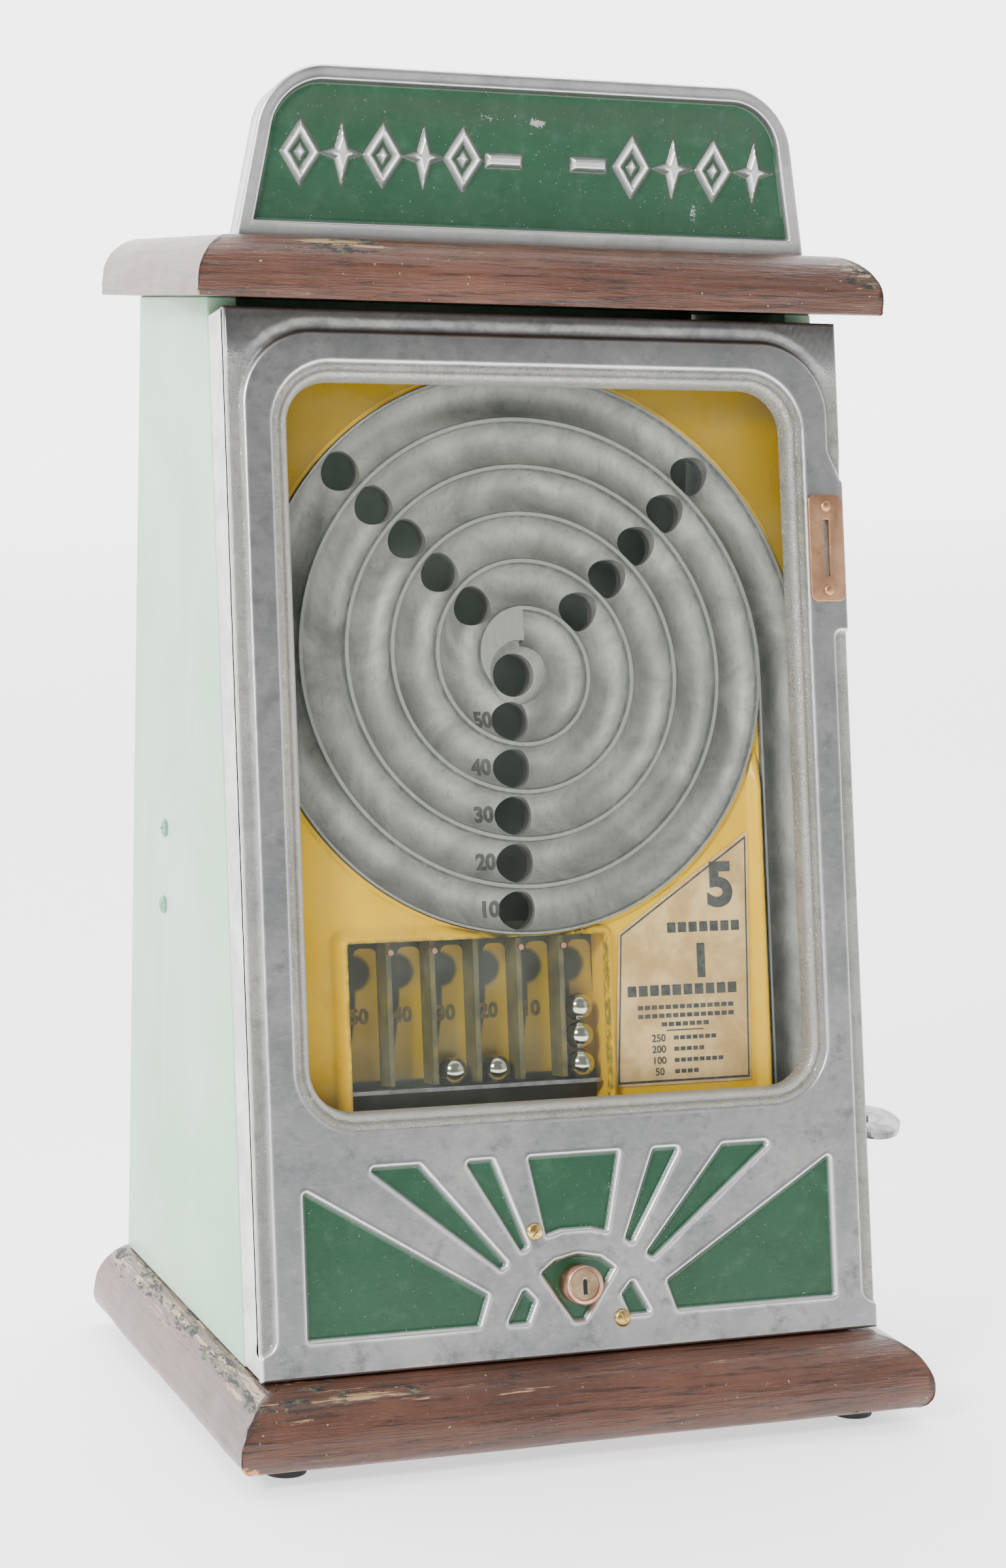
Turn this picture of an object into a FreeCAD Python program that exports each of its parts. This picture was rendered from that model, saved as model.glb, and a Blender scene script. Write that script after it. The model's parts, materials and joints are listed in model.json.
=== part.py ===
"""Countertop spiral ball game: a penny skill machine in a wooden cabinet.

A ball is shot up the runway at the right, whirls inward along a spiral track and drops through one of the
holes into a scored column. The cabinet stands on a wide plinth, its front is a sloping cast door with a
window, and a cast sign stands on the cap board.

Two frames are used. The cabinet frame has +Z up, +Y to the back and x = 0 on the cabinet's middle plane.
The slope frame lies in the door: x as above, y into the machine from the door's front face, z up the slope
from the door's bottom edge. The row's origin is the centre of the footprint at bench level, lever included.
"""

import FreeCAD, Part  # FreeCAD has to be imported before Part
import Sketcher

import os
import re

from FreeCAD import Placement, Rotation, Vector

DIMS = {
    # plinth, feet and cap
    "depth_all": 226.5, "base_over": 14.25, "base_depth": 220, "base_thick": 27.5, "base_arc": 19,
    "base_low_arc": 7, "foot_radius": 9, "foot_height": 6, "foot_inset": 24, "foot_screw": 2,
    "cap_over": 13.75, "cap_depth": 144.5, "cap_thick": 23, "cap_arc": 17,
    # cabinet
    "cabinet_width": 253.5, "cabinet_height": 396, "cabinet_inset": 3, "side_thick": 12, "back_thick": 6,
    "back_recess": 2, "panel_gap": 0.25, "screw_head": 3.6,
    "panel_screw_y": 53.5, "panel_screw_low": 188, "panel_screw_high": 219,
    # door, in the slope frame
    "tilt": 10.5, "door_setback": 22.75, "door_lift": 1, "door_top_gap": 3, "door_deep": 22,
    "door_wall": 8, "door_flange": 8, "door_gap": 0.8, "window_half": 102.5, "window_low": 97,
    "window_high": 371.5, "window_round": 17, "bevel": 4.5, "band_side": 6.5, "band_top": 9.5,
    "band_round": 28, "band_low": 9, "band_lift": 2.5, "boss_low": 276, "boss_high": 337, "inlay_deep": 2,
    "inlay_thick": 0.8, "inlay_gap": 0.5, "ray_top": 76.5, "ray_low": 13.5, "ray_side": 108.8,
    "ray_side_top": 70, "glass_thick": 2.5, "glass_lap": 6, "clip_thick": 1.2, "clip_long": 22,
    # lock
    "lock_high": 26.8, "lock_radius": 7.5, "plug_radius": 5.6, "lock_proud": 7, "plug_gap": 0.1,
    "cam_thick": 2.5, "cam_reach": 20, "cam_wide": 10, "cam_back": 24.2, "key_slot": 1.7, "key_tall": 6.5,
    "lock_screw_x": 17.4, "lock_screw_rise": 18, "lock_screw_head": 3.4, "strike_thick": 1,
    # coin entry
    "coin_in": 9.15, "coin_high": 308.4, "coin_plate_wide": 15, "coin_plate_tall": 42.5,
    "coin_plate_thick": 1.5, "coin_slot_wide": 2.2, "coin_slot_tall": 22.5, "chute_wall": 0.8,
    "chute_thick": 4.6, "chute_deep": 26, "chute_low": 130, "chute_gap": 0.3,
    # playfield, in the slope frame
    "play_face": 20, "play_thick": 14, "panel_thick": 12, "play_side": 1.15, "play_low": 84,
    "play_high": 388, "spiral_x": -4.5, "spiral_z": 265.2, "spiral_pitch": 18.4, "first_ring": 22,
    "groove_radius": 8.6, "groove_depth": 7.5, "track_rim": 9.4, "ball_hole": 7.7, "fit_gap": 0.3,
    "ball_radius": 5.56, "runway_low": 91,
    # score gallery
    "gallery_left": -82, "gallery_right": 24.5, "gallery_low": 90, "gallery_high": 159.5, "divider": 2,
    "pane_thick": 1.2, "back_plate": 1.5, "gate_high": 103, "gate_thick": 1.5, "gate_travel": 10,
    "port_radius": 6.6, "port_high": 148,
    # shooter
    "pivot_x": 50, "pivot_z": 76, "lever_y": 37, "lever_thick": 4, "lever_high": 9, "hub_radius": 7.5,
    "pin_radius": 3, "pin_gap": 0.1, "lever_out": 31.25, "pad_wide": 24, "pad_thick": 3,
    "pad_neck": 20, "pad_lean": 25, "lever_travel": 18, "hammer_radius": 4, "tail_x": 30, "spring_radius": 2.4, "spring_wire": 0.8,
    "rail_thick": 14, "rail_low": 36, "rail_high": 92, "rail_gap": 1.2,
    # sign
    "sign_low_half": 118.4, "sign_tall": 64.8, "sign_lean": 11.6, "sign_round": 23, "sign_thick": 8,
    "sign_rim": 5.6, "sign_deep": 2.6, "sign_front": -3, "mark_tall": 17, "mark_low": 21,
    # hinges
    "knuckle_radius": 3.2, "leaf_thick": 1.5, "leaf_wide": 14, "leaf_tall": 40, "hinge_pin": 1.5,
    "hinge_low": 118, "hinge_high": 342,
    # cash box
    "cash_wide": 110, "cash_deep": 84, "cash_tall": 46, "cash_wall": 1.2, "cash_back": 30,
}

doc = FreeCAD.newDocument("spiral_ball_game")
sheet = doc.addObject("Spreadsheet::Sheet", "dims")
for row, (alias, number) in enumerate(DIMS.items(), 1):
    sheet.set("A%d" % row, alias)
    sheet.set("B%d" % row, str(number))
    sheet.setAlias("B%d" % row, alias)
doc.recompute()

ALIAS = re.compile(r"\b(" + "|".join(sorted(DIMS, key=len, reverse=True)) + r")\b")
PARTS = []

# Derived sizes, written on the sheet's aliases.
LEAN = "(tilt * 1 deg)"
LEVER_TIP = "(cabinet_width / 2 + lever_out)"
BASE_HALF = "(cabinet_width / 2 + base_over)"
CAP_HALF = "(cabinet_width / 2 + cap_over)"
MIDDLE = "((base_over - lever_out) / 2)"
BASE_TOP = "(foot_height + base_thick)"
CAP_LOW = "(foot_height + base_thick + cabinet_height)"
CAP_TOP = "(foot_height + base_thick + cabinet_height + cap_thick)"
BASE_BACK = "(base_depth - depth_all / 2)"
CABINET_BACK = "(base_depth - depth_all / 2 - cabinet_inset)"
DOOR_Y = "(door_setback - depth_all / 2)"
DOOR_Z = "(foot_height + base_thick + door_lift)"
DOOR_TALL = "((cabinet_height - door_lift - door_top_gap) / cos(tilt * 1 deg))"
HALF = "(cabinet_width / 2)"
INNER = "(cabinet_width / 2 - side_thick)"
COIN_X = "(cabinet_width / 2 - coin_in)"
PLAY_HALF = "(cabinet_width / 2 - side_thick - play_side)"
BOARD_FACE = "(play_face + play_thick - panel_thick)"
BOARD_BACK = "(play_face + play_thick)"
RUNWAY_X = "(spiral_x + first_ring + spiral_pitch * 4.75)"
STEP = "(spiral_pitch / 4)"
COLUMN = "((gallery_right - gallery_left) / 6)"
GLASS_FACE = "(door_flange)"
HINGE_Y = "(door_deep + door_gap / 2)"
HINGE_X = "(cabinet_width / 2 + knuckle_radius)"
RAIL_FACE = "(lever_y + lever_thick / 2 + rail_gap)"


def formula(text):
    """An expression on the sheet's cells, from one written with bare aliases."""
    return ALIAS.sub(r"dims.\1", str(text))


def size(text):
    """The value of such an expression, in millimetres or degrees."""
    found = sheet.evalExpression(formula(text))
    return float(getattr(found, "Value", found))


def bind(item, **values):
    """Tie an object's properties to the sheet."""
    for name, text in values.items():
        item.setExpression(name, formula(text))
    return item


def locate(item, x, y, z):
    """Tie an object's position to the sheet."""
    for axis, text in zip("xyz", (x, y, z)):
        item.setExpression("Placement.Base." + axis, formula(text))
    return item


def in_cabinet(item, label):
    """Name a finished sub-part that is drawn in the cabinet frame."""
    item.Label = label
    locate(item, MIDDLE, "0", "0")
    PARTS.append(item)
    return item


def on_slope(item, label):
    """Name a finished sub-part that is drawn in the slope frame."""
    item.Label = label
    item.Placement = Placement(Vector(), Rotation(Vector(-1, 0, 0), size("tilt")))
    item.setExpression("Placement.Rotation.Angle", formula(LEAN))
    locate(item, MIDDLE, DOOR_Y, DOOR_Z)
    PARTS.append(item)
    return item


# Solids of revolution and boxes, placed in whichever frame their sub-part is drawn in.

TURNS = {"x": Rotation(Vector(0, 1, 0), 90), "y": Rotation(Vector(1, 0, 0), -90), "z": Rotation()}


def box(x_low, x_high, y_low, y_high, z_low, z_high):
    item = doc.addObject("Part::Box", "block")
    bind(item, Length=f"({x_high}) - ({x_low})", Width=f"({y_high}) - ({y_low})",
         Height=f"({z_high}) - ({z_low})")
    return locate(item, x_low, y_low, z_low)


def rod(axis, radius, length, x, y, z):
    """A cylinder that starts at a point and runs along an axis."""
    item = doc.addObject("Part::Cylinder", "rod")
    item.Placement.Rotation = TURNS[axis]
    bind(item, Radius=radius, Height=length)
    return locate(item, x, y, z)


def cone(axis, radius_low, radius_high, length, x, y, z):
    item = doc.addObject("Part::Cone", "cone")
    item.Placement.Rotation = TURNS[axis]
    bind(item, Radius1=radius_low, Radius2=radius_high, Height=length)
    return locate(item, x, y, z)


def ball(radius, x, y, z):
    item = doc.addObject("Part::Sphere", "ball")
    bind(item, Radius=radius)
    return locate(item, x, y, z)


def cut(base, tool):
    item = doc.addObject("Part::Cut", "cut")
    item.Base = base
    item.Tool = tool
    return item


def fuse(shapes):
    item = doc.addObject("Part::MultiFuse", "fusion")
    item.Shapes = shapes
    return item


def group(shapes):
    item = doc.addObject("Part::Compound", "group")
    item.Links = shapes
    return item


# Bodies: closed outlines on the origin planes, padded and pocketed.

def outline(body, plane, loops, level="0"):
    """Closed outlines on an origin plane, each corner tied to the sheet; (x, z, radius) is a circle."""
    item = doc.addObject("Sketcher::SketchObject", "outline")
    body.addObject(item)
    support = next(face for face in body.Origin.OriginFeatures if face.Role == plane + "_Plane")
    item.AttachmentSupport = (support, "")
    item.MapMode = "FlatFace"
    item.setExpression("AttachmentOffset.Base.z", formula(level))
    for loop in loops:
        if isinstance(loop, tuple):
            add_circle(item, *loop)
        else:
            add_polygon(item, loop)
    return item


def tie_point(item, geometry, point, across, up):
    """Hold a sketch point at a distance from the sketch origin along both axes."""
    for kind, text in (("DistanceX", across), ("DistanceY", up)):
        index = item.addConstraint(Sketcher.Constraint(kind, -1, 1, geometry, point, size(text)))
        item.setExpression("Constraints[%d]" % index, formula(text))


def add_circle(item, across, up, radius):
    centre = Vector(size(across), size(up), 0)
    circle = item.addGeometry(Part.Circle(centre, Vector(0, 0, 1), size(radius)))
    tie_point(item, circle, 3, across, up)
    index = item.addConstraint(Sketcher.Constraint("Radius", circle, size(radius)))
    item.setExpression("Constraints[%d]" % index, formula(radius))


def add_polygon(item, corners):
    points = [Vector(size(across), size(up), 0) for across, up in corners]
    following = points[1:] + points[:1]
    lines = [item.addGeometry(Part.LineSegment(start, end)) for start, end in zip(points, following)]
    for line, after in zip(lines, lines[1:] + lines[:1]):
        item.addConstraint(Sketcher.Constraint("Coincident", line, 2, after, 1))
    for line, (across, up) in zip(lines, corners):
        tie_point(item, line, 1, across, up)


def pad(body, plane, loops, level, depth, backwards=False):
    """Pad outlines by a depth; on the XZ plane the pad runs into the machine."""
    item = doc.addObject("PartDesign::Pad", "pad")
    profile = outline(body, plane, loops, level)
    body.addObject(item)
    item.Profile = profile
    item.Reversed = backwards
    bind(item, Length=depth)
    body.Tip = item
    doc.recompute()
    return item


def plate(plane, loops, low, high):
    """A body padded between two levels, measured along +Y on XZ and along the normal elsewhere."""
    body = doc.addObject("PartDesign::Body", "plate")
    level = f"-({low})" if plane == "XZ" else low
    pad(body, plane, loops, level, f"({high}) - ({low})", plane == "XZ")
    return body


def pocket(body, plane, loops, low, high):
    """Cut outlines out of a body between two levels."""
    item = doc.addObject("PartDesign::Pocket", "pocket")
    level = f"-({low})" if plane == "XZ" else high
    profile = outline(body, plane, loops, level)
    body.addObject(item)
    item.Profile = profile
    bind(item, Length=f"({high}) - ({low})")
    body.Tip = item
    doc.recompute()


def round_edges(body, radius, wanted, kind="PartDesign::Fillet"):
    """Round, or chamfer, the edges of a body that pass a test."""
    names = ["Edge%d" % number for number, edge in enumerate(body.Shape.Edges, 1) if wanted(edge)]
    item = doc.addObject(kind, "edges")
    base = body.Tip
    body.addObject(item)
    item.Base = (base, names)
    bind(item, **{"Radius" if kind.endswith("Fillet") else "Size": radius})
    body.Tip = item
    doc.recompute()


def spans(edge):
    """The extents of an edge in its body's own frame."""
    bounds = edge.BoundBox
    return bounds.XLength, bounds.YLength, bounds.ZLength


def rectangle(left, right, low, high):
    return [(left, low), (right, low), (right, high), (left, high)]


def along_depth(edge):
    return spans(edge)[0] < 0.01 and spans(edge)[2] < 0.01


# Plinth, cap and cabinet walls.

def make_board(label, half, y_low, y_high, low, high, upper, lower):
    """A plinth or cap board, its front and side edges rounded."""
    body = plate("XY", [rectangle(f"-{half}", half, y_low, y_high)], low, high)
    back = size(y_high)

    def on_face(level):
        return lambda edge: (abs(edge.BoundBox.ZMin - size(level)) < 0.01 and spans(edge)[2] < 0.01
                             and edge.BoundBox.YMin < back - 0.01)
    round_edges(body, upper, on_face(high))
    if lower:
        round_edges(body, lower, on_face(low))
    return in_cabinet(body, label)


def feet_points():
    left, front = f"(foot_inset - {BASE_HALF})", "(foot_inset - depth_all / 2)"
    back = f"({BASE_BACK} - foot_inset)"
    return [(x, y) for x in (left, f"-{left}") for y in (front, back)]


def make_feet():
    pads = []
    for x, y in feet_points():
        solid = cone("z", "foot_radius - 1", "foot_radius", "foot_height", x, y, "0")
        pads.append(cut(solid, rod("z", "foot_screw * 2.2", "foot_height - 1", x, y, "-1")))
    in_cabinet(group(pads), "rubber_feet")
    heads = [rod("z", "foot_screw * 1.9", "1.6", x, y, "foot_height - 3.6") for x, y in feet_points()]
    in_cabinet(group(heads), "foot_screws")


def front_line(level, depth):
    """The y of a surface that lies behind the door's face by a depth, at a height in the cabinet frame."""
    return f"({DOOR_Y} + ({level} - {DOOR_Z}) * tan({LEAN}) + ({depth}) / cos({LEAN}))"


def make_side(label, side):
    low, high = (f"-{HALF}", f"-{INNER}") if side < 0 else (INNER, HALF)
    rear = "(door_deep + door_gap)"
    corners = [(front_line(BASE_TOP, rear), BASE_TOP), (CABINET_BACK, BASE_TOP), (CABINET_BACK, CAP_LOW),
               (front_line(CAP_LOW, rear), CAP_LOW)]
    body = plate("YZ", [corners], low, high)
    body.Label = label
    return body


def make_left_side():
    in_cabinet(make_side("panel_left", -1), "side_panel_left")


def make_right_side():
    """The right wall has a slot for the lever and a rebate for the coin chute."""
    travel = "(lever_travel * 1 deg)"
    drop = f"(({HALF} - pivot_x) * sin{travel} + lever_high)"
    slot = box(f"{INNER} - 1", f"{HALF} + 1", "lever_y - lever_thick / 2 - 0.8",
               "lever_y + lever_thick / 2 + 0.8", f"pivot_z - {drop}", "pivot_z + lever_high / 2 + 1.5")
    rebate = box(f"{INNER} - 1", f"{COIN_X} + chute_thick / 2 + chute_gap", "door_deep",
                 "door_deep + door_gap + chute_deep + chute_gap", "chute_low - chute_gap",
                 "coin_high + coin_slot_tall / 2 + 4")
    tools = fuse([slot, rebate])
    tools.Placement = Placement(Vector(), Rotation(Vector(-1, 0, 0), size("tilt")))
    tools.setExpression("Placement.Rotation.Angle", formula(LEAN))
    locate(tools, "0", DOOR_Y, DOOR_Z)
    in_cabinet(cut(make_side("panel_right", 1), tools), "side_panel_right")


def make_back():
    side = f"{INNER} - panel_gap"
    y_high = f"{CABINET_BACK} - back_recess"
    body = plate("XZ", [rectangle(f"-({side})", side, f"{BASE_TOP}", f"{CAP_LOW}")],
                 f"{y_high} - back_thick", y_high)
    in_cabinet(body, "back_panel")


def make_side_screws():
    """Two round heads on each side wall."""
    heads = []
    for z in ("panel_screw_low", "panel_screw_high"):
        for x, turn in ((f"-{HALF} - 1.4", 1), (HALF, -1)):
            radii = ("screw_head - 1.2", "screw_head") if turn > 0 else ("screw_head", "screw_head - 1.2")
            heads.append(cone("x", *radii, "1.4", x, "panel_screw_y", z))
    in_cabinet(group(heads), "panel_screws")


# The door and what it carries.

RAYS = (
    [("-ray_side", "ray_side_top"), ("-ray_side", "ray_low"), ("-40.5", "ray_low"), ("-36.3", "25.5")],
    [("-84.6", "ray_top"), ("-62.2", "ray_top"), ("-28", "36.4"), ("-31.4", "34")],
    [("-44.9", "ray_top"), ("-32.8", "ray_top"), ("-19.6", "42.6"), ("-22.8", "40")],
    [("-30.3", "13.2"), ("-20.8", "13.2"), ("-17.2", "21.6"), ("-22.4", "27.4")],
)
CENTRE_RAY = [("-19.2", "ray_top"), ("19.2", "ray_top"), ("12.8", "45.6"), ("6", "47.4"), ("-6", "47.4"),
              ("-12.8", "45.6")]
LOCK_RECESS = [("-15.6", "32"), ("-9.5", "36.6"), ("0", "38.4"), ("9.5", "36.6"), ("15.6", "32"),
               ("2.4", "12.6"), ("-2.4", "12.6")]


def mirrored(corners):
    return [(f"-({across})", up) for across, up in corners]


def make_casting():
    """Sloping cast door: hollow at the back, with a window and a sunburst of recesses below it."""
    body = plate("XZ", [rectangle(f"-{HALF}", HALF, "0", DOOR_TALL)], "0", "door_deep")
    inside = f"({HALF} - door_wall)"
    pocket(body, "XZ", [rectangle(f"-{inside}", inside, "door_wall + 4", f"{DOOR_TALL} - door_wall")],
           "door_flange", "door_deep + 1")
    pocket(body, "YZ", [[("-1", "-1"), ("door_deep + 1", "-1"), ("door_deep + 1",
           f"(door_deep + 1) * tan({LEAN})"), ("0", "0"), ("-1", "0")]], f"-{HALF} - 1", f"{HALF} + 1")
    pocket(body, "XZ", [rectangle("-window_half", "window_half", "window_low", "window_high")],
           "-1", "door_flange + 1")
    round_edges(body, "window_round", lambda edge: along_depth(edge) and inside_window(edge))
    strip = f"({HALF} - band_side)"
    crown = f"({DOOR_TALL} - band_top)"
    over = f"({DOOR_TALL} + 1)"
    edge_x = f"({HALF} + 1)"
    pocket(body, "XZ", [[(f"-{edge_x}", "band_low"), (f"-{strip}", "band_low"), (f"-{strip}", crown),
           (strip, crown), (strip, "boss_high"), (edge_x, "boss_high"), (edge_x, over),
           (f"-{edge_x}", over)]], "-1", "band_lift")
    pocket(body, "XZ", [rectangle(strip, edge_x, "band_low", "boss_low")], "-1", "band_lift")
    round_edges(body, "band_round", lambda edge: along_depth(edge) and abs(spans(edge)[1]
                - size("band_lift")) < 0.01 and edge.BoundBox.ZMin > size(crown) - 0.1)
    round_edges(body, "bevel", is_window_rim, "PartDesign::Chamfer")
    rays = [corners for ray in RAYS for corners in (ray, mirrored(ray))]
    rays += [CENTRE_RAY, LOCK_RECESS]
    pocket(body, "XZ", rays, "-1", "inlay_deep")
    pocket(body, "XZ", [("0", "lock_high", "lock_radius + plug_gap")], "-1", "door_flange + 1")
    slot = ("coin_slot_wide / 2", "coin_slot_tall / 2")
    pocket(body, "XZ", [rectangle(f"{COIN_X} - {slot[0]}", f"{COIN_X} + {slot[0]}", f"coin_high - {slot[1]}",
           f"coin_high + {slot[1]}")], "-1", "door_deep + 1")
    on_slope(body, "door_casting")


def inside_window(edge):
    middle = edge.CenterOfMass
    return (abs(abs(middle.x) - size("window_half")) < 0.1
            and min(abs(middle.z - size(name)) for name in ("window_low", "window_high")) < 0.1)


def is_window_rim(edge):
    """The front edge of the window opening."""
    room = edge.BoundBox
    reach = size("window_half") + 0.1
    return (abs(room.YMin) < 0.01 and room.YLength < 0.01 and room.XMax < reach and room.XMin > -reach
            and room.ZMin > size("window_low") - 0.1 and room.ZMax < size("window_high") + 0.1)


def make_inlays():
    """Enamelled plates seated in the recesses of the sunburst."""
    plates = []
    low = "inlay_deep - inlay_thick"
    for ray in RAYS:
        corners = drawn_in(ray)
        plates.append(plate("XZ", [corners], low, "inlay_deep"))
        plates.append(plate("XZ", [mirrored(corners)], low, "inlay_deep"))
    plates.append(plate("XZ", [drawn_in(CENTRE_RAY)], low, "inlay_deep"))
    lock_plate = plate("XZ", [drawn_in(LOCK_RECESS)], low, "inlay_deep")
    pocket(lock_plate, "XZ", [("0", "lock_high", "lock_radius + inlay_gap")], "-1", "inlay_deep + 1")
    plates.append(lock_plate)
    on_slope(group(plates), "enamel_inlays")


def drawn_in(corners):
    """A convex outline moved inwards, along the bisector at each corner, by the inlays' gap."""
    centre = [f"(({') + ('.join(place)})) / {len(corners)}" for place in zip(*corners)]
    moved = []
    for across, up in corners:
        toward = (f"(({centre[0]}) - ({across}))", f"(({centre[1]}) - ({up}))")
        reach = f"sqrt({toward[0]} * {toward[0]} + {toward[1]} * {toward[1]})"
        share = f"3.2 * inlay_gap / {reach}"
        moved.append((f"({across}) + {toward[0]} * {share}", f"({up}) + {toward[1]} * {share}"))
    return moved


def make_glass():
    side = "(window_half + glass_lap)"
    body = plate("XZ", [rectangle(f"-{side}", side, "window_low - glass_lap", "window_high + glass_lap")],
                 GLASS_FACE, f"{GLASS_FACE} + glass_thick")
    on_slope(body, "door_glass")
    clips = []
    rear = f"{GLASS_FACE} + glass_thick"
    low, high = "window_low - glass_lap", "window_high + glass_lap"
    for x in ("-50", "50"):
        for inner, outer in ((f"{low} + 3", f"{low} - 7"), (f"{high} - 3", f"{high} + 4")):
            bottom, top = sorted((inner, outer), key=size)
            clips.append(box(f"{x} - clip_long / 2", f"{x} + clip_long / 2", rear, f"{rear} + clip_thick",
                             bottom, top))
    on_slope(group(clips), "glass_clips")


def make_lock():
    """Round lock: barrel through the casting, a plug that turns, and a cam behind the door."""
    z = "lock_high"
    long = "lock_proud + door_flange + 1"
    barrel = cut(rod("y", "lock_radius", long, "0", "-lock_proud", z),
                 rod("y", "plug_radius + plug_gap", f"{long} + 2", "0", "-lock_proud - 1", z))
    on_slope(barrel, "lock_barrel")
    plug = rod("y", "plug_radius", "lock_proud - 0.6 + cam_back + cam_thick", "0", "0.6 - lock_proud", z)
    key = box("-key_slot / 2", "key_slot / 2", "-lock_proud", "6 - lock_proud", "lock_high - key_tall / 2",
              "lock_high + key_tall / 2")
    on_slope(cut(plug, key), "lock_plug")
    cam = box("0", "cam_reach", "cam_back", "cam_back + cam_thick", "lock_high - cam_wide / 2",
              "lock_high + cam_wide / 2")
    hub = rod("y", "plug_radius + 2.5", "cam_thick", "0", "cam_back", z)
    hole = rod("y", "plug_radius", "cam_thick + 2", "0", "cam_back - 1", z)
    on_slope(cut(fuse([cam, hub]), hole), "lock_cam")
    heads = []
    for x, up in (("-lock_screw_x", "lock_high + lock_screw_rise + 3"), ("lock_screw_x", "lock_high - 14.3")):
        head = cone("y", "lock_screw_head - 0.8", "lock_screw_head", "1.6", x, "-1.6", up)
        nick = box(f"{x} - 5", f"{x} + 5", "-2", "-0.8", f"{up} - 0.5", f"{up} + 0.5")
        heads.append(cut(head, nick))
    on_slope(group(heads), "lock_screws")


def floor_line(depth):
    """The slope-frame height of the plinth's top at a depth behind the door's face."""
    return f"(({depth}) * sin({LEAN}) - door_lift) / cos({LEAN})"


def make_strike():
    """Angle bracket on the plinth; the lock's cam turns down behind it."""
    front, rear, end = "door_deep + 0.6", "door_deep + 0.6 + strike_thick", "door_deep + 14"
    thick = f"(strike_thick / cos({LEAN}))"
    corners = [(front, floor_line(front)), (end, floor_line(end)), (end, f"{floor_line(end)} + {thick}"),
               (rear, f"{floor_line(rear)} + {thick}"), (rear, "lock_high - 14"), (front, "lock_high - 14")]
    on_slope(plate("YZ", [corners], "-9", "9"), "lock_strike")


def make_coin_entry():
    """Coin plate on the casting, its screws, and the chute behind it."""
    half_wide, half_tall = "coin_plate_wide / 2", "coin_plate_tall / 2"
    body = plate("XZ", [rectangle(f"{COIN_X} - {half_wide}", f"{COIN_X} + {half_wide}",
                 f"coin_high - {half_tall}", f"coin_high + {half_tall}")], "-coin_plate_thick", "0")
    round_edges(body, "3", along_depth)
    pocket(body, "XZ", [rectangle(f"{COIN_X} - coin_slot_wide / 2", f"{COIN_X} + coin_slot_wide / 2",
           "coin_high - coin_slot_tall / 2", "coin_high + coin_slot_tall / 2")],
           "-coin_plate_thick - 1", "1")
    on_slope(body, "coin_plate")
    heads = [cone("y", "1.2", "2.4", "1.3", f"{COIN_X}", "-coin_plate_thick - 1.3", f"coin_high {step}")
             for step in ("- 17", "+ 16.5")]
    on_slope(group(heads), "coin_screws")
    side = "chute_thick / 2"
    top = "coin_high + coin_slot_tall / 2 + 3.7"
    tube = box(f"{COIN_X} - {side}", f"{COIN_X} + {side}", "door_deep + door_gap",
               "door_deep + door_gap + chute_deep", "chute_low", top)
    hollow = box(f"{COIN_X} - {side} + chute_wall", f"{COIN_X} + {side} - chute_wall",
                 "door_deep + door_gap + chute_wall", "door_deep + door_gap + chute_deep - chute_wall",
                 "chute_low - 1", f"{top} - chute_wall")
    mouth = box(f"{COIN_X} - {side} + chute_wall", f"{COIN_X} + {side} - chute_wall", "door_deep",
                "door_deep + door_gap + 3", "coin_high - coin_slot_tall / 2 - 1",
                "coin_high + coin_slot_tall / 2 + 1")
    on_slope(cut(tube, fuse([hollow, mouth])), "coin_chute")


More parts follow.
